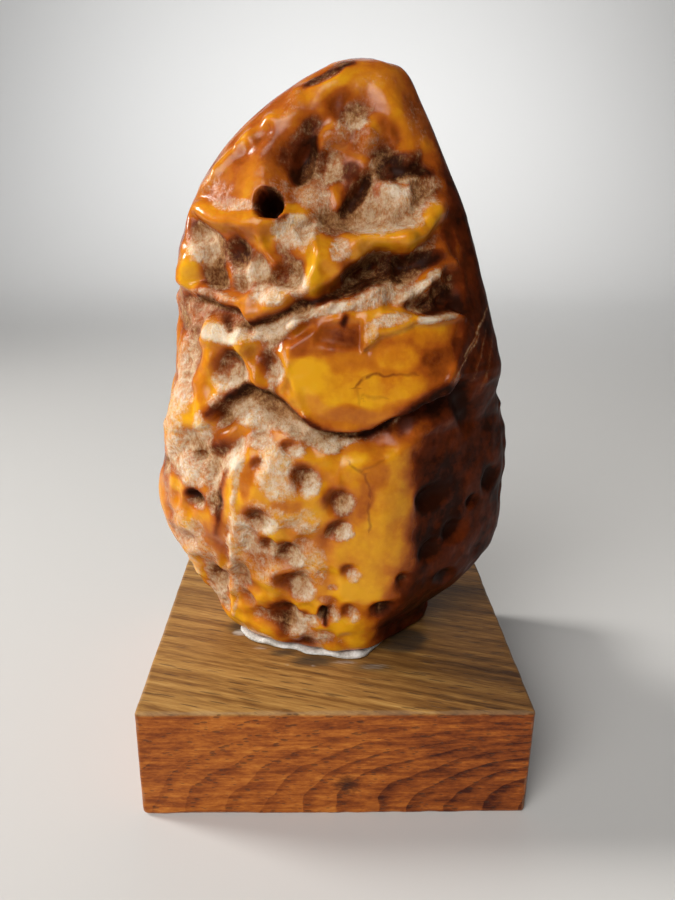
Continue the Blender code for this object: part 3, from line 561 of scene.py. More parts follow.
# %% Crust and tone, place by place
RIGHT_DARKER = 0.24              # tone lost round on the right
LOWER_LEFT_YELLOWER = 0.19       # tone gained on the lower left of the front
x, height = drawn(plain)
x = x - 0.5 * (x - plain[..., 0])         # the places stray half as far as the relief
height = height - 0.5 * (height - plain[..., 2])
sides = 1.0 - front
crust = crust * (1.0 - 0.5 * sides * (plain[..., 0] > 0)) * (1.0 - smooth * front)
# The right side is painted darker, partly as its darker skin and partly as shade.
tone = tone - RIGHT_DARKER * sides * ease(-5.0, 20.0, plain[..., 0])
lower_left = ease(8.0, -4.0, plain[..., 0]) * ease(62.0, 50.0, plain[..., 2])
tone = tone + LOWER_LEFT_YELLOWER * front * lower_left
for *place, crust_there, tone_there, strength in PATCHES:
    far = oval(x, height, *place)[0]
    share = strength * (1.0 - ease(0.65, 1.2, far + 0.12 * speckle)) * front
    # Sunken skin is painted darker here too, partly as shade.
    relative = np.clip(-sunken, -0.4, 0.4) * 0.5
    crust = crust + (crust_there - crust) * share * 0.85
    tone = tone + (tone_there + relative - tone) * share
print("tone", round(float(tone.mean()), 2), "on the whole")

# %% Pits, the dark side and the hole, with painted shade and light
# A pit's lower right keeps pale crust, placed on the side that faces the light, so it is partly painted light;
# its upper left wall is painted darker, as shade. The oxidised side, partly painted shade, keeps a third of the
# tone and hardly any crust.
SHADED = 0.28                    # tone of the wall in shade
TONE_RANGE = (-0.2, 1.1)         # a little past dark brown and past bright yellow
dimples = smooth * ease(*HEAD, plain[..., 2])
lit_crust_of_pits, shaded_wall_of_pits = np.zeros(level.shape), np.zeros(level.shape)
for pit_x, pit_height, across, tall, tilt, _ in PITS:
    floor_far = oval(x, height, pit_x + 0.20 * across, pit_height - 0.14 * tall, across, tall, tilt)[0]
    wall_far = oval(x, height, pit_x - 0.20 * across, pit_height + 0.18 * tall, across, tall, tilt)[0]
    crusted = 0.65 + 0.35 * ease(3.5, 5.5, across)
    lit_crust_of_pits = np.maximum(lit_crust_of_pits, crusted * (1.0 - ease(0.35, 1.10, floor_far)))
    shaded_wall_of_pits = np.maximum(shaded_wall_of_pits, 1.0 - ease(0.4, 1.1, wall_far))
lit_crust_of_pits = lit_crust_of_pits * front * (1.0 - dimples)
shaded_wall_of_pits = shaded_wall_of_pits * front * (1.0 - 0.9 * dimples)
crust = np.maximum(crust * (1.0 - 0.6 * shaded_wall_of_pits), 0.95 * lit_crust_of_pits)
tone = tone + (SHADED - tone) * 0.85 * shaded_wall_of_pits * (1.0 - lit_crust_of_pits)
tone = tone + (0.32 * tone - 0.06 + 0.10 * sides - 0.15 * shaded_wall_of_pits - tone) * oxide_and_shade
crust = crust * (1.0 - 0.93 * oxide_and_shade)

# The drilled hole's inside is painted near black, as shade.
hole_far = oval(plain[..., 0], plain[..., 2], *HOLE[:4], 0)[0]
hole_shade = (1.0 - ease(0.88, 1.08, hole_far)) * front
crust = np.clip(crust * (1.0 - chip) * (1.0 - hole_shade), 0.0, 1.0)
tone = np.clip(tone - hole_shade, *TONE_RANGE)
print("tone", round(float(tone.mean()), 2), "with the dark side")

# %% Painted shade in the creases
# x and height of both ends, half-width, strength
CREASE_SHADE = (
    (-25.2, 54.3, -22, 57.9, 1.1, 0.75), (-22, 57.9, -18.5, 60.8, 1, 0.9), (-18.5, 60.8, -14.2, 59.7, 0.8, 0.9),
    (-23.4, 73.2, -21.6, 71, 0.7, 0.8), (-22.1, 43.6, -23.9, 38.4, 0.9, 0.6),
    (-23.9, 38.4, -24.1, 32.5, 0.8, 0.6), (-24.1, 32.5, -24.8, 28.9, 0.7, 0.5),
    (-14.2, 59.7, -10.4, 58, 0.5, 0.7), (-10.4, 58, -6.6, 55.5, 0.5, 0.6), (-6.6, 55.5, -3.6, 53.6, 0.6, 0.9),
    (-3.6, 53.6, 0.5, 51.9, 0.5, 0.7), (0.5, 51.9, 5.2, 51.6, 0.6, 0.8), (5.2, 51.6, 10.2, 53.6, 0.8, 0.9),
    (10.2, 53.6, 13, 56.4, 1.2, 1), (13, 56.4, 17.1, 59, 1.8, 1), (17.1, 59, 21.5, 61, 1.8, 1),
    (-18.3, 72.6, -14, 73.5, 0.6, 0.8), (-14, 73.5, -7.6, 76.9, 0.6, 0.8), (-7.6, 76.9, -3, 77.6, 0.7, 0.9),
    (-3, 77.6, 1.7, 79.5, 0.9, 0.9), (1.7, 79.5, 7.2, 81.8, 1.2, 0.8), (7.2, 81.8, 12.7, 83.8, 1.4, 0.8),
    (12.7, 83.8, 19.5, 84.8, 1.2, 0.8), (19, 75.8, 23, 77, 1.6, 1), (0.6, 73.2, 1.2, 74.6, 0.8, 0.9),
    (-8.6, 100.6, -5.6, 105.6, 1.3, 0.6), (11, 102.4, 17.5, 100.4, 0.9, 0.8), (0.6, 94.4, 5.6, 100.8, 0.9, 0.7),
    (-9.9, 92.6, -11.6, 91.9, 0.5, 0.7), (-6.7, 114.8, -1.8, 117.3, 0.5, 0.6),
    (-1.8, 117.3, 2.6, 118.8, 0.4, 0.6), (-20.4, 86.6, -19, 85.2, 1.4, 0.7),
    (-30.6, 36.6, -28.4, 36.2, 1.3, 0.9), (-2.8, 13.4, -2.4, 9.2, 0.8, 1), (-12.4, 10.8, -11.4, 4.2, 1.9, 0.6),
    (-10.4, 1, -6.2, 1.6, 1.4, 0.7),
)
# the same for pale lines of crust, the broken edge and the scratches on the dark side
FILM = (
    (-18.9, 50.3, -19.2, 45.8, 0.9, 0.55), (-19.2, 45.8, -20.4, 38.4, 0.8, 0.5),
    (-20.4, 38.4, -21.7, 29.1, 0.7, 0.4), (-21.7, 29.1, -21.8, 20.6, 0.7, 0.45),
    (-21.8, 20.6, -22.4, 6, 0.6, 0.4), (-19, 34.2, -18.2, 27.5, 1.3, 0.7), (14.8, 73.9, 22, 74.2, 0.45, 0.9),
    (24.5, 66.5, 31, 75.2, 0.33, 0.65), (27.4, 60.9, 30.1, 70.8, 0.33, 0.4),
    (22.4, 62.4, 28.3, 70.3, 0.33, 0.6), (29.5, 58.2, 31.6, 68.4, 0.33, 0.3),
)
CRUST_PALE, CRUST_WHOLE = 0.85, 0.95      # tone and crust of a full-strength pale line
crease_shade = np.zeros(level.shape)
for *line, strength in CREASE_SHADE:
    near_line = stroke(plain[..., 0] + 0.3 * speckle, plain[..., 2] + 0.3 * speckle, *line)
    crease_shade = np.maximum(crease_shade, strength * near_line * front)
# The creases are painted darker, as shade, and lose some of their crust.
tone = np.clip(tone * (1.0 - crease_shade), *TONE_RANGE)
crust = crust * (1.0 - 0.75 * crease_shade)
for *line, strength in FILM:
    share = strength * stroke(plain[..., 0] + 0.3 * speckle, plain[..., 2], *line) * front
    crust, tone = crust + (CRUST_WHOLE - crust) * share, tone + 0.6 * (CRUST_PALE - tone) * share
print("crust on", round(float((crust > 0.5).mean()) * 100), "% of the net in the end")

# %% Cracks
# x and height of both ends, strength: hairline cracks in the chip and the cheek
CRACKS = (
    (3.1, 61.8, 4.1, 62.9, 0.9), (4.1, 62.9, 6.5, 64, 0.9), (6.5, 64, 11, 64.1, 0.9),
    (11, 64.1, 14.3, 64.1, 0.6), (3.1, 61.8, 3.9, 58.9, 0.3), (4.4, 60.2, 8.8, 59.6, 0.3),
    (2.6, 47, 5.4, 44.6, 0.6), (5.4, 44.6, 6.4, 40.4, 0.7), (6.2, 38.4, 6.4, 33, 0.6),
    (4.6, 45.4, 8.6, 47.4, 0.4), (-3.2, 71.2, -1.2, 68.6, 0.3),
)
CRACK_REACH = 1.1                # mm on both sides that a crack is looked for in
NO_CRACK = 9.0                   # stands for a crack too far away to matter


def crack_side(x, height, x1, h1, x2, h2):
    """Distance from a line between two ends, positive on its left and negative on its right."""
    side = np.sign((x2 - x1) * (height - h1) - (h2 - h1) * (x - x1))
    return line_gap(x, height, x1, h1, x2, h2) * side


crack, side_of_crack = np.zeros(level.shape), np.full(level.shape, NO_CRACK)
for *line, strength in CRACKS:
    side = crack_side(plain[..., 0], plain[..., 2], *line)
    nearer = np.abs(side) < np.abs(side_of_crack)
    side_of_crack = np.where(nearer, side, side_of_crack)
    crack = np.where(nearer, strength * (1.0 - ease(0.6, 1.0, np.abs(side) / CRACK_REACH)) * front, crack)
print(int((crack > 0.2).sum()), "points beside a crack")

# %% Skins and pieces
def globe(rings, bottom, top):
    """Points and faces of a closed globe: the rings, joined round and upward, and a pole at each end."""
    rows, columns = rings.shape[:2]
    points = np.concatenate([rings.reshape(-1, 3), [bottom, top]])
    index = np.arange(rows * columns).reshape(rows, columns)
    beside = np.roll(index, -1, axis=1)
    quads = np.stack([index[:-1], beside[:-1], beside[1:], index[1:]], axis=-1).reshape(-1, 4)
    below = np.stack([np.full(columns, rows * columns), beside[0], index[0]], axis=-1)
    above = np.stack([np.full(columns, rows * columns + 1), index[-1], beside[-1]], axis=-1)
    return points, quads.tolist() + below.tolist() + above.tolist()


def make_piece(name, points, faces, material, node):
    """A smooth-shaded piece of the object, its points in millimetres, standing for one node of the part."""
    mesh = bpy.data.meshes.new(name)
    mesh.from_pydata((points * MM).tolist(), [], faces)
    mesh.shade_smooth()
    mesh.materials.append(material)
    mesh.update()
    piece = bpy.data.objects.new(name, mesh)
    bpy.context.scene.collection.objects.link(piece)
    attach(piece, "root")
    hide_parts(node)
    triangles = sum(len(face) - 2 for face in faces)
    print(name, triangles, "triangles, mm", np.round(np.ptp(points, axis=0), 1))
    return piece


def note(piece, name, values, at_ends=(0.0, 0.0)):
    """Stores one number for each point of a piece, for its material to read."""
    numbers = np.concatenate([values.ravel(), at_ends]).astype(np.float32)
    piece.data.attributes.new(name, "FLOAT", "POINT").data.foreach_set("value", numbers)


# %% The lump's points
# Each point stands out of the plain form by the relief and the grit. Below the foot's rim the rings shrink to
# its middle, and the top is filled up to a blunt cone.
TOP_SLOPE, TOP_ROUND = 0.33, 2.5          # the cone's slope; mm over which its tip is rounded off
FOOT_MIDDLE = np.array([0.0, -3.0, 0.0])
fade = ease(0.0, 0.015, rise) * ease(1.0, 0.95, rise)     # the relief fades out at the foot's rim and the tip
grit = (cloud(plain + 3.0, GRIT[0]) + 0.5 * cloud(plain + 60.0, GRIT[0] / 2)) * GRIT[1] * crust
grit += CRUMBS[1] * cloud(plain + 80.0, CRUMBS[0]) * crust
top = form(np.zeros((1, 1)), np.ones((1, 1)))[0, 0]
from_top = np.hypot(plain[..., 0] - top[0], plain[..., 1] - top[1])
fuller = TOP_SLOPE * (TOP_ROUND + from_top - np.hypot(from_top, TOP_ROUND)) * ease(0.90, 0.965, rise)
skin = plain + normal * ((level + grit) * fade)[..., None]
skin[..., 2] += fuller
share = np.clip(ring / UNDERSIDE_RINGS, 0.0, 1.0)[..., None]
skin = FOOT_MIDDLE + (skin - FOOT_MIDDLE) * share
skin[..., 2] = np.clip(skin[..., 2], 0.0, cad_high.z / MM - FOOT)
up = [0.0, 0.0, FOOT]
lump_points, lump_faces = globe(skin + up, FOOT_MIDDLE + up, top + up)
print(len(lump_points), "points, and the tip at mm", np.round(top + up, 1))

# %% [markdown]
# ## Material building blocks
#
# A material is a small network of nodes: each does one sum, draws one noise or mixes two colours. Joined up one
# by one they are hard to follow. So whatever a node works out is wrapped as a Value here, and a plain sum on
# it adds the next node: the recipes below then read as formulas. Patterns are worked out in object space, in
# metres, so that they run through the solid and show no seam.

# %% A value that nodes work out
class Value:
    """A number, place or colour worked out at each point. Each +, -, * and / on it adds one Math node."""

    def __init__(self, socket):
        self.socket, self.tree = socket, socket.id_data

    def reckon(self, operation, other=0.0):
        """One sum, named as the Math node names it."""
        return make(self.tree, "Math", {0: self, 1: other}, operation=operation)

    def __add__(self, other):
        return self.reckon("ADD", other)

    def __sub__(self, other):
        return self.reckon("SUBTRACT", other)

    def __mul__(self, other):
        return self.reckon("MULTIPLY", other)

    def __truediv__(self, other):
        return self.reckon("DIVIDE", other)


def plug(socket, value):
    """Joins a worked-out value to a socket, or sets a plain number or colour on it."""
    if isinstance(value, Value):
        socket.id_data.links.new(value.socket, socket)
    else:
        socket.default_value = value


def make(tree, kind, values, output=0, **settings):
    """Adds a node of a kind, with its settings and what goes into its sockets, and gives one of its outputs."""
    node = tree.nodes.new("ShaderNode" + kind)
    for name, value in settings.items():
        setattr(node, name, value)
    for name, value in values.items():
        plug(node.inputs[name], value)
    return Value(node.outputs[output])


# %% Steps and patterns
def eased(value, low, high, from_value=0.0, to_value=1.0):
    """The same smooth step as above, as a node, and stretched to run from one value to another."""
    values = {"Value": value, "From Min": low, "From Max": high, "To Min": from_value, "To Max": to_value}
    return make(value.tree, "MapRange", values, interpolation_type="SMOOTHSTEP")


def stretched(where, x, y, z):
    """The place with its x, y and z multiplied: a pattern there is 1 / x as long in x, and so on."""
    return make(where.tree, "Mapping", {"Vector": where, "Scale": (x, y, z)})


def blotches(where, size, detail=3.0, rough=0.55):
    """Noise from 0 to 1 with blotches of a size in mm."""
    values = {"Vector": where, "Scale": 1.0 / (size * MM), "Detail": detail, "Roughness": rough}
    return make(where.tree, "TexNoise", values, "Fac")


# %% Colours, bumps and stored numbers
def colours(share, stops):
    """A colour read from a ramp of (share, colour) stops, by straight lines between them."""
    node = share.tree.nodes.new("ShaderNodeValToRGB")
    plug(node.inputs["Fac"], share)
    elements = node.color_ramp.elements
    while len(elements) < len(stops):
        elements.new(0.5)
    for element, (position, colour) in zip(elements, stops):
        element.position, element.color = position, (*colour, 1.0)
    return Value(node.outputs["Color"])


def mixed(share, first, second):
    """Two colours mixed: (1 - share) of the first and share of the second."""
    first, second = (colour if isinstance(colour, Value) else (*colour, 1.0) for colour in (first, second))
    return make(share.tree, "Mix", {"Factor": share, 6: first, 7: second}, 2, data_type="RGBA")


def between(share, first, second):
    """Two numbers mixed in the same way."""
    return make(share.tree, "Mix", {"Factor": share, 2: first, 3: second})


def bumpy(height, deep, strength, **under):
    """The skin's tilt as if it rose by deep mm where the height is 1, on top of a Normal if one is given."""
    return make(height.tree, "Bump", {"Height": height, "Distance": deep * MM, "Strength": strength, **under})


def noted(where, name):
    """A number stored on the piece's points."""
    return make(where.tree, "Attribute", {}, "Fac", attribute_name=name)


def new_material(name):
    """An empty material, its main shader, and the place of each point in object space."""
    material = bpy.data.materials.new(name)
    material.use_nodes = True
    tree = material.node_tree
    return material, tree.nodes["Principled BSDF"], make(tree, "TexCoord", {}, "Object")


def connect(shader, **sockets):
    """Fills the main shader's sockets, named with _ for a space."""
    for name, value in sockets.items():
        plug(shader.inputs[name.replace("_", " ")], value)


# %% [markdown]
# ## Amber
#
# This is milky, opaque amber, full of microscopic bubbles: light goes a few millimetres in and comes out
# orange, and nothing shows through. So it is a solid colour with some light scattered under it, not a clear
# glass. What the sea polished is glossy. The crust is dull, tan and dusty, with pale fibres as fine as felt,
# and the amber turns a deeper orange round it.

# %% Amber's recipe
def make_amber():
    """Amber's colour by tone and the crust's by fine felt noise, mixed by the crust number plus noise."""
    material, shader, where = new_material("amber")
    tone_here, crust_here = noted(where, "tone"), noted(where, "crust")
    mottled = blotches(where, 1.3, 3.0)
    flecks = blotches(where, 1.1, 4.0, 0.65)
    felt = blotches(stretched(where, 1.0, 1.0, 0.4), 0.35, 2.0, 0.7)
    veins = eased((blotches(where, 6.0, 5.0, 0.6) - 0.5).reckon("ABSOLUTE"), 0.11, 0.0)
    near_crust = eased(crust_here, 0.0, 0.3) * eased(crust_here, 0.85, 0.35)

    cloudy = blotches(where, 5.0, 4.0)
    tone = tone_here + cloudy * 0.36 + mottled * 0.18 - veins * 0.07 - near_crust * 0.07 - 0.255
    amber = colours(tone, (
        (0.0, (0.020, 0.004, 0.001)), (0.22, (0.112, 0.018, 0.003)), (0.48, (0.34, 0.075, 0.006)),
        (0.72, (0.52, 0.165, 0.006)), (1.0, (0.69, 0.325, 0.008))))
    tan = colours(flecks * 0.55 + felt * 0.32 + (tone_here - 0.54) * 0.65 + 0.215, (
        (0.30, (0.13, 0.042, 0.012)), (0.50, (0.33, 0.165, 0.065)), (0.66, (0.49, 0.335, 0.195)),
        (0.90, (0.68, 0.575, 0.44))))
    broken = (flecks - 0.5) * 1.5 + (felt - 0.5) * 0.45
    crust = eased(crust_here + broken * eased(crust_here, 0.02, 0.35), 0.06, 1.0)
    off_crack = noted(where, "crack_side") + (blotches(where, 3.0, 1.5) - 0.5) * 1.8
    crack = eased(off_crack.reckon("ABSOLUTE"), 0.55, 0.0) * noted(where, "crack") * eased(mottled, 0.2, 0.5)
    colour = mixed(crack * 0.85, mixed(crust * 0.92, amber, tan), (0.16, 0.030, 0.004))

    rough = mottled * 0.16 + eased(tone, 0.05, 0.40, 0.38, 0.14)
    felted = bumpy((felt + flecks) * crust, 0.22, 0.8)
    connect(shader, Base_Color=colour, Roughness=between(crust, rough, 0.78), IOR=1.54,
            Normal=bumpy(blotches(where, 2.4, 1.0), 0.22, 0.7, Normal=felted),
            Specular_IOR_Level=eased(tone, 0.15, 0.65, 0.05, 0.24),
            Subsurface_Weight=between(crust, 0.25, 0.08), Subsurface_Radius=(1.0, 0.25, 0.05),
            Subsurface_Scale=1.6 * MM)
    return material


lump = make_piece("amber_lump", lump_points, lump_faces, make_amber(), "amber")
note(lump, "crust", crust * fade)
note(lump, "tone", tone, (0.5, 0.6))
note(lump, "crack", crack)
note(lump, "crack_side", side_of_crack, (NO_CRACK, NO_CRACK))

# %% [markdown]
# ## The oak block
#
# The block is sawn from an oak board and planed, and its edges and corners have been handled until they are
# slightly round, more in some places than in others. It is a box pulled onto a rounded box: each point goes to
# the nearest point of the inner box, then out again by the edge's radius.

# %% The block's skin
EDGE = (0.65, 0.25, 0.2)         # mean radius of the worn edges, and how far it wanders broadly and finely
low, high = (np.array(v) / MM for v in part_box("oak_base"))


def spaced(first, last, count):
    """Evenly spaced numbers, with four extra ones close to each end, where the edge turns."""
    ends = np.array([0.0, 0.25, 0.55, 0.9, 1.35])
    return np.unique(np.concatenate([first + ends, np.linspace(first + 1.8, last - 1.8, count), last - ends]))


def box_faces(counts):
    """The six sides of a box as nets of points; equal points are welded, so that the skin is closed."""
    lines = [spaced(low[i], high[i], counts[i]) for i in range(3)]
    points, quads, start = [], [], 0
    for axis in range(3):
        a, b = (axis + 1) % 3, (axis + 2) % 3
        for end in (0, 1):
            first, second = np.meshgrid(lines[a], lines[b], indexing="ij")
            side = np.empty((*first.shape, 3))
            side[..., a], side[..., b] = first, second
            side[..., axis] = (low, high)[end][axis]
            index = start + np.arange(first.size).reshape(first.shape)
            quad = np.stack([index[:-1, :-1], index[1:, :-1], index[1:, 1:], index[:-1, 1:]], axis=-1)
            quads.append(quad.reshape(-1, 4)[:, ::1 if end else -1])
            points.append(side.reshape(-1, 3))
            start += first.size
    points = np.concatenate(points)
    _, first_of, same = np.unique(np.round(points, 4), axis=0, return_index=True, return_inverse=True)
    return points[first_of], same.ravel()[np.concatenate(quads)]


points, quads = box_faces((72, 72, 22))
radius = (EDGE[0] + EDGE[1] * cloud(points, 9.0) + EDGE[2] * cloud(points, 2.5))[:, None]
core = np.clip(points, low + radius, high - radius)
away = points - core
block_points = core + away / (np.linalg.norm(away, axis=1, keepdims=True) + 1e-9) * radius
print("edges rounded by mm from", round(float(radius.min()), 2), "to", round(float(radius.max()), 2))

# %% [markdown]
# ## Oak
#
# The board was cut flat from near the outside of the tree. Its fibres run from left to right and a little
# towards the front. The growth rings are nested shells: they show as arcs that sweep up to the right on the
# front, and as slanting streaks on the top. Each ring starts with a band of open pores, which show as dark
# dashes along the fibres. The top is paler and greyer than the sides, partly as painted sheen from above, and
# the sides are redder, partly as a painted red reflection. Glue has stained the top, and a painted shadow lies
# on it right of the foot.

# %% Oak's recipe
RING_WIDTH = 7.6                 # mm between rings, measured along the front
RING_SLANT = 3.27                # how much faster they follow each other towards the back
RING_CURVE = (16.4, -0.2)        # mm: height squared is divided by this, the second number times x added
FIBRE_TURN = 17.0                # degrees, towards the front on the right
PORE = 0.70                      # mm between pores
KNOT = (2.4, -40.0, 7.7)         # mm: the middle of a small dark knot in the front


def make_oak():
    """Ring number is (x + 3.27 (y + 40) - z squared / (16.4 - 0.2 x)) / 7.6, strayed by broad noise."""
    material, shader, where = new_material("oak")
    x, y, z = (make(where.tree, "SeparateXYZ", {0: where}, i) * (1.0 / MM) for i in range(3))
    wander = (blotches(where, 13.0, 3.0) - 0.5) * 9.0
    bow = z * z / (x * RING_CURVE[1] + RING_CURVE[0])
    age = (((y + 40.0) * RING_SLANT + x + wander - bow) / RING_WIDTH).reckon("FRACT")

    turned = make(where.tree, "VectorRotate", {"Vector": where, "Angle": np.radians(FIBRE_TURN)},
                  rotation_type="Z_AXIS")
    along = stretched(turned, 0.09, 1.0, 1.0)
    fibres = blotches(along, 0.40, 3.0, 0.65)
    streaks = blotches(stretched(turned, 0.03, 1.0, 1.0), 2.0, 4.0, 0.6)
    pore = make(where.tree, "TexVoronoi", {"Vector": along, "Scale": 1.0 / (PORE * MM)}, "Distance")
    band = eased(age, 0.0, 0.05) * eased(age, 0.60, 0.05)
    pores = eased(pore - (band * 0.22 + 0.10 + (streaks - 0.5) * 0.35), 0.10, -0.04)

    on_top = eased(z, 24.4, 25.3)
    strong = eased(on_top, 0.0, 1.0, -0.22, -0.05) * eased(x, -40.0, 15.0, 0.4) * eased(z, 22.0, 8.0, 0.35)
    dashes = blotches(stretched(where, 0.06, 0.06, 1.0), 0.7, 3.0, 0.7) - 0.5
    value = streaks * 0.85 + fibres * 0.42 + band * strong + dashes * eased(on_top, 1.0, 0.0, 0.0, 0.55)
    # The wood gets darker towards the right: partly its own darker heartwood, partly painted shade where the
    # light falls off.
    value = value - eased(x, -10.0, 40.0, 0.0, 0.17)
    # Two copies of the oak: the top paler and greyer, partly painted sheen, and the sides redder, partly a
    # painted red reflection.
    side_wood_painted_red_light = colours(value, (
        (0.20, (0.045, 0.007, 0.002)), (0.50, (0.22, 0.050, 0.007)), (0.72, (0.39, 0.112, 0.015)),
        (0.95, (0.56, 0.21, 0.035))))
    top_wood_painted_sheen = colours(value, (
        (0.30, (0.056, 0.022, 0.006)), (0.52, (0.216, 0.096, 0.024)), (0.70, (0.40, 0.21, 0.056)),
        (0.92, (0.60, 0.37, 0.130))))
    wood = mixed(on_top, side_wood_painted_red_light, top_wood_painted_sheen)

    # Glue stains darken the wood, and so does a painted shadow right of the foot.
    stain_and_shadow = eased(streaks * 0.7 + noted(where, "stain_and_shadow"), 0.45, 1.35)
    smear = eased(fibres * 0.6 + noted(where, "smear"), 0.62, 1.1)
    knot_place = [v * MM for v in KNOT]
    from_knot = make(where.tree, "VectorMath", {0: where, 1: knot_place}, "Value", operation="DISTANCE")
    knot = eased(fibres * 0.004 + from_knot, 0.0055, 0.0025, 0.0, 0.75)
    worn = eased(noted(where, "edge"), 0.2, 1.0)
    for share, colour in (
            (pores * 0.55, (0.045, 0.018, 0.007)), (stain_and_shadow * 0.8, (0.030, 0.024, 0.018)),
            (smear * 0.6, (0.55, 0.52, 0.47)), (knot, (0.035, 0.010, 0.004)),
            (worn * 0.25, (0.30, 0.20, 0.12))):
        wood = mixed(share, wood, colour)

    connect(shader, Base_Color=wood, Roughness=streaks * 0.18 + 0.44, IOR=1.5, Specular_IOR_Level=0.18,
            Normal=bumpy(fibres * 0.5 - pores * 0.8, 0.16, 0.7))
    return material


block = make_piece("oak_block", block_points, quads.tolist(), make_oak(), "oak_base")

# %% Stains and a painted shadow on the block
# x, y, across, deep, strength on the block's top, beside the foot
# The last two rows, right of the foot, are a painted shadow; the others are glue stains.
STAINS_AND_SHADOW = (
    (-22, -9, 8, 7, 0.9), (-4.8, -22.6, 12, 5.5, 1), (-11.5, -19.4, 8, 3.5, 0.9), (8, -25, 12, 4, 0.7),
    (15.5, -17, 13, 6, 1), (17, -13.6, 10, 8, 1.5),
)
SMEARS = (
    (-22, -11.4, 5, 3.5, 0.8), (8.6, -24.6, 11, 3.2, 0.5), (2, -23, 8, 3, 0.6), (-10.6, -23.8, 2.4, 1.8, 0.6),
    (-4.6, -24.6, 2.6, 1.8, 0.6), (-16.5, -17.4, 7, 2.6, 0.5),
)
on_top = ease(high[2] - 0.5, high[2] - 0.1, block_points[:, 2])


def spots(table):
    """The strongest of a table's soft ovals at each point of the block's top."""
    x, y = block_points[:, 0], block_points[:, 1]
    shares = [strength * (1.0 - ease(0.2, 1.4, oval(x, y, *spot, 0)[0])) for *spot, strength in table]
    return np.maximum.reduce(shares) * on_top


edges = (np.abs(away) > 0.12).sum(axis=1) >= 2      # pushed out of the core in two directions or more
for name, numbers in (("stain_and_shadow", spots(STAINS_AND_SHADOW)), ("smear", spots(SMEARS)), ("edge", edges.astype(float))):
    note(block, name, numbers, ())
    print(name, "on", round(float((numbers > 0.3).mean()) * 100, 1), "% of the block's points")

# %% [markdown]
# ## The glue
#
# The lump was set in white wood glue, which was squeezed out in front into a crooked bead and dried chalky.
# The piece is a low pad under the foot; its rim swells into a bead where the glue came out, and stays thin
# and hidden behind.

# %% The pad and its bead
# turn, how far the glue comes out beyond the foot, mm
GLUE_SPREAD = (
    (0, 2), (5, 2.5), (10, 2.9), (15, 2.8), (20, 1.5), (25, 0.1), (31, -0.9), (40, -1.4), (60, -1.6),
    (180, -2.5), (270, -1.8), (288, -0.6), (296, 1.5), (304, 2.7), (312, 3.3), (320, 3.1), (328, 2.3),
    (335, 1.2), (340, 0.9), (346, 1.3), (353, 1.5),
)
# turn, how thick the bead is, mm
BEAD = (
    (0, 1.3), (6, 0.9), (12, 1.4), (22, 1.1), (32, 0.7), (60, 0.6), (180, 0.6), (285, 0.6), (300, 0.6),
    (312, 1), (320, 1.4), (330, 0.8), (340, 1.2), (350, 0.8),
)
# share of the rim's reach, share of the thickness
BEAD_OUTLINE = (
    (0.5, 0), (0.9, 0.04), (1, 0.35), (0.985, 0.75), (0.955, 1), (0.91, 0.9), (0.87, 0.6), (0.8, 0.45),
    (0.5, 0.42), (0.2, 0.42),
)
SUNK_IN = 0.25                   # mm that the glue reaches down, onto the wood
glue_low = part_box("glue")[0].z / MM - SUNK_IN
print("glue comes out by up to", max(out_by for _, out_by in GLUE_SPREAD), "mm, before it strays")

# %% The pad's skin
# The foot's outline is pushed out by the spread, and the bead's outline is carried round it.
GLUE_COLUMNS = 300
glue_turn = (np.arange(GLUE_COLUMNS) / GLUE_COLUMNS * 360.0)[None, :]
rim = form(glue_turn, np.zeros(glue_turn.shape))
wander = 0.5 * cloud(rim + 5.0, 3.0) + 0.15 * cloud(rim + 25.0, 1.2)
spread = round_the_lump(glue_turn, GLUE_SPREAD, 1) + wander
thick = round_the_lump(glue_turn, BEAD, 1) * (1.0 + 0.30 * cloud(rim + 70.0, 2.2))
toward = np.stack([np.sin(np.radians(glue_turn)), -np.cos(np.radians(glue_turn)), 0 * glue_turn], axis=-1)
rim = rim + toward * spread[..., None]
share, tall = np.array(BEAD_OUTLINE).T[..., None]
glue = np.stack([rim[..., 0] * share, rim[..., 1] * share, glue_low + thick * tall], axis=-1)
glue += 0.10 * cloud(glue, 1.3)[..., None] * (share > 0.8)[..., None] * [1.0, 1.0, 0.5]
glue[..., 2] = np.maximum(glue[..., 2], glue_low)
foot_end = thick.mean() * BEAD_OUTLINE[-1][1]
glue_points, glue_faces = globe(glue, [0.0, 0.0, glue_low], [0.0, 0.0, glue_low + foot_end])
print("bead up to", round(float(thick.max()), 1), "mm thick")

# %% Dried glue's recipe
def make_glue():
    """Chalky white, greyer in blotches where dust has stuck to it, with a pitted, half dull skin."""
    material, shader, where = new_material("dried_glue")
    dust, fine = blotches(where, 3.0, 4.0, 0.65), blotches(where, 0.5, 3.0, 0.6)
    colour = colours(fine * 0.35 + dust * 0.75, (
        (0.28, (0.16, 0.14, 0.11)), (0.46, (0.42, 0.40, 0.36)), (0.62, (0.66, 0.64, 0.60)),
        (0.85, (0.80, 0.79, 0.76))))
    connect(shader, Base_Color=colour, Roughness=dust * 0.4 + 0.35, Normal=bumpy(fine, 0.15, 0.8),
            Subsurface_Weight=0.15, Subsurface_Radius=(1.0, 0.9, 0.8), Subsurface_Scale=0.8 * MM)
    return material


make_piece("glue_bead", glue_points, glue_faces, make_glue(), "glue")

# %% [markdown]
# ## The studio
#
# A pale floor curves up behind into a wall. A small round lamp on the left stands for a window and draws the
# highlights, and a big soft one in front on the left lights the face evenly. A third washes the wall behind.
# The right side stays in deep shade, which lets the polished ridges stand out.

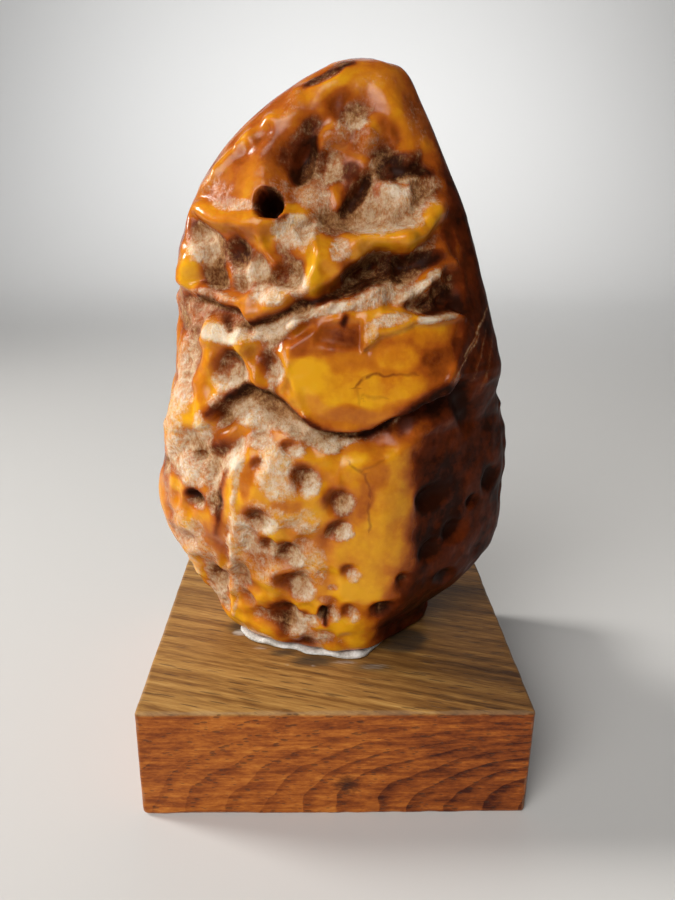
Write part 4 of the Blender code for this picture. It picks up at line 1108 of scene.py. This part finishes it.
# %% Floor
# A flat, a quarter of a circle and an upright wall, carried from left to right.
FLOOR = (0.62, 0.61, 0.59)
HALF_WIDTH, FRONT_EDGE = 1.6, -1.2        # metres
FLAT, CURVE, WALL = 1.9, 0.4, 1.6         # metres: length of the flat, radius of the bend, height of the wall
TO_BEND, TO_WALL = 0.45, 0.75             # shares of the net's rows before the bend, and before the wall
ACROSS, BACK = 9, 60                      # points
across = np.linspace(-HALF_WIDTH, HALF_WIDTH, ACROSS)
across, back = np.meshgrid(across, np.linspace(0.0, 1.0, BACK), indexing="ij")
bend = np.clip((back - TO_BEND) / (TO_WALL - TO_BEND), 0.0, 1.0) * np.pi / 2
floor_y = FRONT_EDGE + np.clip(back, 0.0, TO_BEND) / TO_BEND * FLAT + CURVE * np.sin(bend)
floor_z = CURVE * (1.0 - np.cos(bend)) + np.clip(back - TO_WALL, 0.0, 1.0) / (1.0 - TO_WALL) * WALL
floor_points = np.stack([across, floor_y, floor_z], axis=-1).reshape(-1, 3)
index = np.arange(ACROSS * BACK).reshape(ACROSS, BACK)
floor_faces = np.stack([index[:-1, :-1], index[1:, :-1], index[1:, 1:], index[:-1, 1:]], axis=-1).reshape(-1, 4)
floor_mesh = bpy.data.meshes.new("floor")
floor_mesh.from_pydata(floor_points.tolist(), [], floor_faces.tolist())
floor_mesh.shade_smooth()
material, shader, _ = new_material("floor")
connect(shader, Base_Color=(*FLOOR, 1.0), Roughness=0.7)
floor_mesh.materials.append(material)
floor = bpy.data.objects.new("floor", floor_mesh)
bpy.context.scene.collection.objects.link(floor)
print("floor", len(floor_faces), "faces, m", np.round(np.ptp(floor_points, axis=0), 1))

# %% Light
def lamp(name, watts, size, place, aim, colour):
    """A round soft lamp of a size in metres, at a place, aimed at a point."""
    data = bpy.data.lights.new(name, "AREA")
    data.shape = "DISK"
    data.energy, data.size, data.color, data.spread = watts, size, colour, np.radians(70.0)
    made = bpy.data.objects.new(name, data)
    made.location = place
    made.rotation_euler = (Vector(aim) - Vector(place)).to_track_quat("-Z", "Y").to_euler()
    bpy.context.scene.collection.objects.link(made)
    print("lamp", name, watts, "W")


MIDDLE = (0.0, 0.0, 0.07)
lamp("window", 1.27, 0.26, (-0.82, 0.20, 0.48), MIDDLE, (1.0, 0.98, 0.95))
lamp("room", 3.75, 1.1, (-0.50, -0.90, 0.75), MIDDLE, (1.0, 0.98, 0.96))
lamp("wall_wash", 4.5, 0.9, (0.0, 0.25, 1.30), (0.0, 1.05, 0.45), (0.95, 0.97, 1.0))
world = bpy.data.worlds.new("room")
bpy.context.scene.world = world
world.use_nodes = True
connect(world.node_tree.nodes["Background"], Color=(0.92, 0.94, 1.0, 1.0), Strength=0.06)

# %% Camera
# It stands 165 mm in front of the middle and looks down by 19 degrees, as somebody does who admires the piece.
EYE = (-3.73, -165.4, 124.46)            # mm
YAW, PITCH, ROLL = 1.49, 19.2, -0.774    # degrees: to the right, down, and leaning
LENS, SENSOR, NEAREST = 30.4, 36.0, 0.005        # mm, mm, and metres
yaw, pitch, roll = np.radians((YAW, PITCH, ROLL))
ahead = np.array([np.sin(yaw) * np.cos(pitch), np.cos(yaw) * np.cos(pitch), -np.sin(pitch)])
level_right = np.array([np.cos(yaw), -np.sin(yaw), 0.0])
level_down = np.cross(ahead, level_right)
right = np.cos(roll) * level_right + np.sin(roll) * level_down
down = np.cos(roll) * level_down - np.sin(roll) * level_right
pose = np.eye(4)
pose[:3, 0], pose[:3, 1], pose[:3, 2], pose[:3, 3] = right, -down, -ahead, np.array(EYE) * MM
camera = bpy.data.objects.new("camera", bpy.data.cameras.new("camera"))
camera.matrix_world = Matrix(pose.tolist())
camera.data.lens, camera.data.sensor_width, camera.data.clip_start = LENS, SENSOR, NEAREST
bpy.context.scene.collection.objects.link(camera)
bpy.context.scene.camera = camera
bpy.context.scene.view_settings.view_transform = "Standard"
print("camera", round(float(np.linalg.norm(np.array(EYE) - np.array(MIDDLE) / MM))), "mm from the middle")
